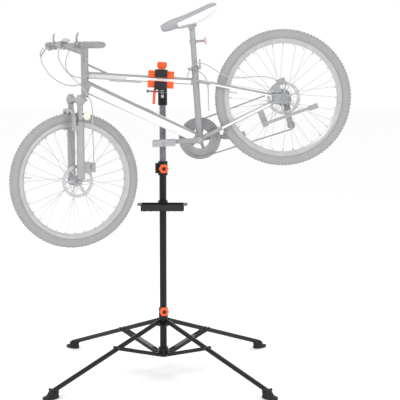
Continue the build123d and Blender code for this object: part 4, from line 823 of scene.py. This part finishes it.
LEG_CLAMP = [(0, -0.036), (0.0165, -0.036), (0.0198, -0.031), (0.0205, -0.012), (0.0192, -0.003),
             (0.0150, 0.003),
             (0.0130, 0.005), (0, 0.005)]
WIPER = [(0.0143, 0), (0.0185, 0), (0.0178, 0.004), (0.0162, 0.005), (0.0168, 0.008), (0.0146, 0.0105),
         (0.0143, 0.010)]
FORK_CAP = [(0, 0), (0.0125, 0), (0.0125, 0.004), (0.0112, 0.006), (0.005, 0.0065), (0, 0.0065)]
# Each station of the crown: its y, x and z, and its half depth and half height.
CROWN = [(-0.0865, -0.050, -0.018, 0.008, 0.007), (-0.0835, -0.050, -0.018, 0.015, 0.012),
         (-0.076, -0.050, -0.018, 0.0198, 0.015), (-0.060, -0.050, -0.018, 0.0205, 0.016),
         (-0.040, -0.044, -0.019, 0.0195, 0.014), (-0.020, -0.026, -0.0175, 0.031, 0.0125)]


def knurled(angle, radius, height):
    """Fine flutes round a cap."""
    return radius * (1 + 0.03 * math.cos(16 * angle))


crown = bmesh.new()
stations = CROWN + [(-y, x, z, deep, tall) for y, x, z, deep, tall in CROWN[::-1]]
skin(crown, [[FORK @ Vector((x + ahead, y, z + up)) for ahead, up in ellipse(deep, tall, 28)]
             for y, x, z, deep, tall in stations])
tubes = bmesh.new()
wipers = bmesh.new()
caps = bmesh.new()
for side in (1, -1):
    place = FORK @ Matrix.Translation((LEG_X, side * LEG_Y, 0))
    lathe(crown, place, LEG_CLAMP, 36)
    lathe(tubes, place, STANCHION, 40)
    lathe(wipers, place @ Matrix.Translation((0, 0, WIPER_Z)), WIPER, 40, closed=True)
    lathe(caps, place @ Matrix.Translation((0, 0, CAP_Z)), FORK_CAP, 32, knurled)
make("fork_crown", crown, fork_paint, "steering", "grey_paint", "fork_upper")
lathe(tubes, FORK, [(0, -0.006), (0.0185, -0.006), (0.020, -0.004), (0.020, -0.0006), (0, -0.0006)], 40)
for low, high in ((0.1706, 0.1775), (0.1780, 0.1855), (0.1860, 0.1938)):
    spacer = [(0, low), (0.0178, low), (0.0185, low + 0.0008), (0.0185, high - 0.0008), (0.0178, high),
              (0, high)]
    lathe(tubes, FORK, spacer, 40)
lathe(tubes, FORK, drum(0.0143, 0.165, 0.232), 32)
make("fork_tubes", tubes, bar_shine, "steering", "alloy", "fork_upper")
wiper_rubber = coated("wiper_rubber", shade(120, 121, 124), shade(136, 137, 140), shade(160, 160, 162), 0.65,
                      grain=900, radius=0.0006)
make("fork_wipers", wipers, wiper_rubber, "fork_sliders", "black_rubber")
make("fork_caps", caps, satin_alloy, "steering", "alloy")
lamp_finish = prismatic("front_reflector", shade(226, 222, 204), shade(238, 234, 218), shade(246, 244, 234),
                        0.16, 0.9, 380, shade(214, 208, 186), shade(244, 241, 228))
LENS = [(0, -0.004), (0.0165, -0.004), (0.018, -0.002), (0.018, 0.003), (0.016, 0.005), (0.006, 0.0062),
        (0, 0.0064)]
TO_LEFT = Matrix.Rotation(math.radians(90), 4, "X")      # own Z toward -Y
front_reflector = bmesh.new()
lathe(front_reflector, FORK @ Matrix.Translation((-0.022, -0.083, -0.092)) @ TO_LEFT, LENS, 40)
bar(front_reflector, (-0.046, -0.083, -0.096), (-0.022, -0.079, -0.088), 0.001, FORK)
make("front_reflector", front_reflector, lamp_finish, "fork_sliders", "pedal_plastic")
dress(satin_alloy, "front_caliper", "rear_caliper")

# ---------------------------------------------------------------- stem, handlebar, grips and controls
# Forged stem and butted bar, with winged rubber grips ribbed round their barrels. The lever
# mounts carry shifters, and a small bell sits beside the stem.
bar_alloy = coated("bar_alloy", shade(142, 143, 145), shade(162, 163, 165), shade(200, 201, 204), 0.36, 0.3,
                   grain=900, depth=0.0001, wear=0.4)
dress(bar_alloy, "stem", "handlebar", "brake_lever_left", "brake_lever_right")
grip_rubber = coated("grip_rubber", shade(136, 137, 139), shade(152, 153, 155), shade(168, 169, 172), 0.7,
                     grain=1000,
                     depth=0.0004, radius=0.0008)
SWEEP_ANGLE = 9
SWEEP = math.tan(math.radians(SWEEP_ANGLE))
SWEEP_START = 0.060
BAR_X = -0.110
BAR_Z = 0.248
GRIP_INNER = 0.220
GRIP_OUTER = 0.348
GRIP_BARREL = 0.0158
GRIP_RIBS = 18
RIB_DEEP = 0.0012
WING = 0.024


def bar_point(y):
    """A point on the bar's centre line, which sweeps back outside the stem."""
    return Vector((BAR_X + max(0.0, abs(y) - SWEEP_START) * SWEEP, y, BAR_Z))


for name, side in (("left", -1), ("right", 1)):
    inner = FORK @ bar_point(side * GRIP_INNER)
    outer = FORK @ bar_point(side * GRIP_OUTER)
    axis = (outer - inner).normalized()
    backward = STEER_BACK - axis * STEER_BACK.dot(axis)
    place = Matrix((backward.normalized(), axis.cross(backward).normalized(), axis)).transposed().to_4x4()
    place.translation = inner
    length = (outer - inner).length
    profile = [(0.0113, 0.0), (0.0172, 0.0), (0.0172, 0.006)]
    for rib in range(GRIP_RIBS):
        height = 0.010 + (length - 0.018) * rib / GRIP_RIBS
        profile += [(GRIP_BARREL - RIB_DEEP, height), (GRIP_BARREL, height + 0.0014),
                    (GRIP_BARREL, height + 0.0040), (GRIP_BARREL - RIB_DEEP, height + 0.0052)]
    profile += [(0.0165, length - 0.006), (0.0165, length - 0.001), (0.012, length), (0, length)]

    def winged(angle, radius, height, length=length):
        """A palm rest that grows backward toward the outer end."""
        share = min(1.0, max(0.0, (height / length - 0.42) / 0.35))
        return radius + WING * max(0.0, math.cos(angle)) ** 5 * share * share * (3 - 2 * share)

    grip = bmesh.new()
    lathe(grip, place, profile, 48, winged)
    make(f"winged_grip_{name}", grip, grip_rubber, "steering", "grip_rubber", "grips", sharp=50)

PERCH = [(-0.035, -0.007), (-0.031, -0.026), (-0.020, -0.026), (-0.006, -0.0135), (-0.008, -0.004),
         (-0.022, -0.005)]
CABLE_BOX = [(-0.032, -0.022), (-0.020, -0.022), (-0.020, -0.010), (-0.032, -0.010)]
POD = [(0, -0.0225), (0.012, -0.0222), (0.0162, -0.0195), (0.017, -0.015), (0.0165, -0.0085),
       (0.0135, -0.006),
       (0, -0.0055)]
# Each ring of the shifter's thumb lever: its height, how far it leans forward, and its half sizes.
THUMB_LEVER = [(0.004, -0.004, 0.0050, 0.0040), (0.016, -0.006, 0.0055, 0.0048),
               (0.030, -0.009, 0.0062, 0.0044),
               (0.044, -0.010, 0.0075, 0.0038), (0.055, -0.008, 0.0078, 0.0034),
               (0.0605, -0.006, 0.0060, 0.0028),
               (0.0625, -0.005, 0.0030, 0.0018)]
MOUNT_Y = 0.178
SHIFTER_Y = 0.025
LEVER_LEAN = math.radians(20)


def clamp_ring(rim, edge, bevel, near, far):
    """The profile of a ring round the bar, with both outer edges bevelled."""
    return [(0.0112, near), (edge, near), (rim, near + bevel), (rim, far - bevel), (edge, far), (0.0112, far)]


for name, side in (("left", -1), ("right", 1)):
    sweep = Matrix.Rotation(math.radians(-side * SWEEP_ANGLE), 4, "Z")
    mount = FORK @ Matrix.Translation(bar_point(side * MOUNT_Y)) @ sweep
    mounts = bmesh.new()
    lathe(mounts, mount @ TO_LEFT, clamp_ring(0.0161, 0.0152, 0.002, -0.012, 0.012), 36, closed=True)
    near, far = sorted((side * 0.014, side * 0.036))
    lathe(mounts, mount @ TO_LEFT, clamp_ring(0.0172, 0.0162, 0.002, near, far), 36, closed=True)
    slab(mounts, mount @ UPRIGHT, PERCH, -0.009, 0.009, 0.0015)
    slab(mounts, mount @ Matrix.Translation((0, -side * 0.021, 0)) @ UPRIGHT, CABLE_BOX, -0.017, 0.017,
         0.0045, 4)
    lathe(mounts, mount @ Matrix.Translation((-0.006, -side * SHIFTER_Y, 0)), POD, 36)
    rings = []
    for height, ahead, wide, thick in THUMB_LEVER:
        inward = -side * SHIFTER_Y * math.cos(LEVER_LEAN) - height * math.sin(LEVER_LEAN)
        middle = Vector((ahead, inward, height * math.cos(LEVER_LEAN)))
        rings.append([mount @ (middle + Vector((x, y, 0))) for x, y in ellipse(thick, wide, 20)])
    skin(mounts, rings)
    make(f"lever_mount_{name}", mounts, bar_alloy, "steering", "alloy", "lever_mounts")

stem_bolts = bmesh.new()
for y in (-0.017, 0.017):
    for z in (-0.014, 0.014):
        domed_head(stem_bolts, FORK @ Vector((-0.1305, y, BAR_Z + z)), -STEER_BACK, 0.0034, 0.0024)
domed_head(stem_bolts, FORK @ Vector((0, 0, 0.2355)), STEER_UP, 0.014, 0.004)
make("stem_bolts", stem_bolts, satin_alloy, "steering", "alloy")
BELL = [(0, 0), (0.004, 0), (0.004, 0.006), (0.0185, 0.006), (0.0195, 0.010), (0.0185, 0.0155),
        (0.014, 0.0205),
        (0.007, 0.0232), (0, 0.024)]
bell = bmesh.new()
lathe(bell, FORK @ Matrix.Translation((-0.112, -0.052, 0.2585)), BELL, 40)
make("bell", bell, rim_alloy, "steering", "alloy")

# ---------------------------------------------------------------- crankset, sprockets and derailleur
# Pressed steel rings behind a smooth plastic guard, on forged arms. The chain is made of
# separate links, each a pair of waisted plates round a roller.
drive_steel = coated("drive_steel", shade(140, 141, 143), shade(166, 167, 169), shade(216, 217, 219), 0.32,
                     0.4,
                     grain=1200, depth=0.0001, wear=0.5, radius=0.0008)
dress(drive_steel, "cassette", "rear_derailleur")
CRANK = BIKE @ Matrix.Rotation(math.radians(18.5), 4, "Y")
TO_RIGHT = Matrix.Rotation(math.radians(-90), 4, "X")    # own Z along the crank's axle
LINK_PITCH = 0.0127
RING_THICK = 0.0011
TOOTH = 0.0026
for name, radius, y in (("large", 0.0835, 0.050), ("small", 0.0690, 0.043)):
    teeth = round(2 * math.pi * radius / LINK_PITCH)

    def toothed(angle, size, height, radius=radius, teeth=teeth):
        """Rounded teeth, cut only into the ring's rim."""
        return size + TOOTH * math.cos(teeth * angle) if size > radius - 0.004 else size

    low, high = y - RING_THICK, y + RING_THICK
    profile = [(radius - 0.020, low), (radius - 0.001, low), (radius, y - 0.0006), (radius, y + 0.0006),
               (radius - 0.001, high), (radius - 0.020, high)]
    ring = bmesh.new()
    lathe(ring, CRANK @ TO_RIGHT, profile, teeth * 8, toothed, closed=True)
    make(f"ring_{name}", ring, drive_steel, "crank", "drive_steel", "crankset")
GUARD = [(0.0785, 0.0552), (0.1020, 0.0552), (0.1034, 0.0562), (0.1034, 0.0570), (0.1010, 0.0578),
         (0.0800, 0.0578), (0.0785, 0.0570)]
SPIDER_ARM = [(0.008, -0.011), (0.050, -0.0062), (0.083, -0.0075), (0.083, 0.0075), (0.050, 0.0062),
              (0.008, 0.011)]
SPIDER_ARMS = 5
BOLT_R = 0.060
spider = bmesh.new()
lathe(spider, CRANK @ TO_RIGHT, GUARD, 120, closed=True)
for count in range(SPIDER_ARMS):
    turn = CRANK @ Matrix.Rotation(2 * math.pi * count / SPIDER_ARMS, 4, "Y")
    slab(spider, turn @ UPRIGHT, SPIDER_ARM, -0.0602, -0.0552, 0.0012)
    lathe(spider, turn @ Matrix.Translation((BOLT_R, 0, 0)) @ TO_RIGHT, drum(0.0042, 0.0415, 0.0585), 18)
BOSS = [(0, 0.0550), (0.0215, 0.0550), (0.0215, 0.0700), (0.018, 0.0735), (0, 0.0735)]
lathe(spider, CRANK @ TO_RIGHT, BOSS, 40)
make("ring_guard", spider, drive_steel, "crank", "drive_steel", "crankset")
CRANK_LENGTH = 0.171
ARM_INNER = 0.072
ARM_OUTER = 0.084
AXLE = [(0, -0.080), (0.009, -0.080), (0.009, -0.034), (0.0165, -0.033), (0.0165, 0.033), (0.009, 0.034),
        (0.009, 0.080), (0, 0.080)]
PEDAL_PIN = [(0, 0.080), (0.0058, 0.081), (0.006, 0.082), (0.006, 0.186), (0.0058, 0.187), (0, 0.188)]
arm_left = arc(0.0165, -80, 80, 10) + [(-0.040, 0.0115), (-0.120, 0.0098), (-0.155, 0.0112)]
arm_left += arc(0.0125, 100, 260, 8, -CRANK_LENGTH) + [(-0.155, -0.0112), (-0.120, -0.0098),
                                                       (-0.040, -0.0115)]
arm_right = [(-x, z) for x, z in arm_left[::-1]]
arms = bmesh.new()
slab(arms, CRANK @ UPRIGHT, arm_right, -ARM_OUTER, -ARM_INNER, 0.0024)
slab(arms, CRANK @ UPRIGHT, arm_left, ARM_INNER, ARM_OUTER, 0.0024)
lathe(arms, CRANK @ TO_RIGHT, AXLE, 32)
for side in (-1, 1):
    pin = [(radius, side * y) for radius, y in PEDAL_PIN][::side]
    lathe(arms, CRANK @ Matrix.Translation((side * CRANK_LENGTH, 0, 0)) @ TO_RIGHT, pin, 24)
make("crank_arms", arms, drive_steel, "crank", "drive_steel", "crankset")
CHAIN_Y = 0.050
# Each corner of the chain's line, in the bicycle's side view: its x and z, and its radius.
CORNERS = [(-0.086, -0.086, 0.085), (-0.086, 0.086, 0.085), (0.4873, 0.0755, 0.035), (0.4873, 0.0035, 0.034),
           (0.4253, -0.0245, 0.020), (0.4703, -0.1265, 0.020)]
CORNER_STEPS = 16
path = []
for index, (x, z, radius) in enumerate(CORNERS):
    corner = Vector((x, z))
    back = (Vector(CORNERS[index - 1][:2]) - corner).normalized()
    ahead = (Vector(CORNERS[(index + 1) % len(CORNERS)][:2]) - corner).normalized()
    half = back.angle(ahead) / 2
    centre = corner + (back + ahead).normalized() * (radius / math.sin(half))
    reach = radius / math.tan(half)
    first = corner + back * reach - centre
    bend = first.angle_signed(corner + ahead * reach - centre)
    for step in range(CORNER_STEPS + 1):
        spot = first.copy()
        spot.rotate(Matrix.Rotation(-bend * step / CORNER_STEPS, 2))
        path.append(centre + spot)
lengths = [0.0]
for before, after in zip(path, path[1:] + path[:1]):
    lengths.append(lengths[-1] + (after - before).length)
link_count = 2 * round(lengths[-1] / LINK_PITCH / 2)


def chain_point(share):
    """A point part of the way round the chain's line."""
    goal = (share % 1.0) * lengths[-1]
    index = max(place for place in range(len(path)) if lengths[place] <= goal)
    after = path[(index + 1) % len(path)]
    step = lengths[index + 1] - lengths[index]
    return path[index].lerp(after, (goal - lengths[index]) / step if step else 0.0)


PLATE_END = arc(0.0040, -70, 70, 5)
WAIST = 0.0026
chain = bmesh.new()
for count in range(link_count):
    here = chain_point(count / link_count)
    there = chain_point((count + 1) / link_count)
    along = (there - here).normalized()
    place = BIKE @ Matrix(((along.x, 0, -along.y, here.x), (0, 1, 0, CHAIN_Y), (along.y, 0, along.x, here.y),
                           (0, 0, 0, 1)))
    gap = (there - here).length
    outline = [(gap + x, z) for x, z in PLATE_END] + [(gap / 2, WAIST)]
    outline += [(-x, z) for x, z in PLATE_END[::-1]] + [(gap / 2, -WAIST)]
    inside, outside = (0.0024, 0.0031) if count % 2 else (0.0015, 0.0022)
    for side in (1, -1):
        faces = sorted((side * inside, side * outside))
        skin(chain, [[place @ Vector((x, y, z)) for x, z in outline] for y in faces])
    lathe(chain, place @ TO_RIGHT, drum(0.0024, -0.0032, 0.0032), 10)
make("link_chain", chain, drive_steel, "head", "drive_steel", "chain")
bolts = bmesh.new()
for count in range(SPIDER_ARMS):
    turn = Matrix.Rotation(2 * math.pi * count / SPIDER_ARMS, 4, "Y")
    domed_head(bolts, CRANK @ turn @ Vector((BOLT_R, 0.0598, 0)), aim(CRANK, 0, 1, 0), 0.005, 0.002)
for side in (-1, 1):
    domed_head(bolts, CRANK @ Vector((0, side * 0.0838, 0)), aim(CRANK, 0, side, 0), 0.0105, 0.0035)
make("crank_bolts", bolts, satin_alloy, "crank", "alloy")

# ---------------------------------------------------------------- pedals and kickstand
# Moulded platform pedals with grip teeth along both edges and a reflector in each. The
# kickstand is a painted tube with a rubber foot, folded up along the stay.
pedal_plastic = coated("pedal_plastic", shade(152, 153, 155), shade(172, 173, 175), shade(186, 187, 190), 0.5,
                       grain=1000, depth=0.0003, wear=0.4, radius=0.0015)
dress(pedal_plastic, "pedal_left", "pedal_right")
PEDAL_NEAR = 0.092
PEDAL_FAR = 0.180
TEETH = 9
TOOTH_INSET = 0.006
PEDAL_TOOTH = [(0, -0.001), (0.0026, -0.001), (0.0020, 0.0022), (0, 0.0026)]
for name, hand in (("left", -1), ("right", 1)):
    x = hand * CRANK_LENGTH
    low, high = sorted((hand * PEDAL_NEAR, hand * PEDAL_FAR))
    teeth = bmesh.new()
    for side in (1, -1):
        for face in (1, -1):
            for count in range(TEETH):
                y = low + TOOTH_INSET + (high - low - 2 * TOOTH_INSET) * count / (TEETH - 1)
                spot = CRANK @ Vector((x + side * 0.0500, y, face * 0.0138))
                lathe(teeth, stand_on(spot, aim(CRANK, 0, 0, face)), PEDAL_TOOTH, 8)
    make(f"pedal_teeth_{name}", teeth, pedal_plastic, f"pedal_{name}", "pedal_plastic")
    lens = bmesh.new()
    for side in (1, -1):
        x_low, x_high = sorted((x + side * 0.0530, x + side * 0.0552))
        bar(lens, (x_low, low + 0.018, -0.009), (x_high, high - 0.018, 0.009), 0.0007, CRANK)
    make(f"pedal_reflectors_{name}", lens, lamp_finish, f"pedal_{name}", "pedal_plastic")
dress(fork_paint, "kickstand")

# ---------------------------------------------------------------- brake and gear cables
# Smooth plastic housings over a steel wire, held at both ends. They keep the routes that the CAD
# model gives them.
cable_housing = coated("cable_housing", shade(164, 165, 167), shade(184, 185, 187), shade(214, 215, 216), 0.4,
                       grain=1500, depth=0.00006, wear=0.2, radius=0.0004)
dress(cable_housing, "steering_cables", "frame_cables")
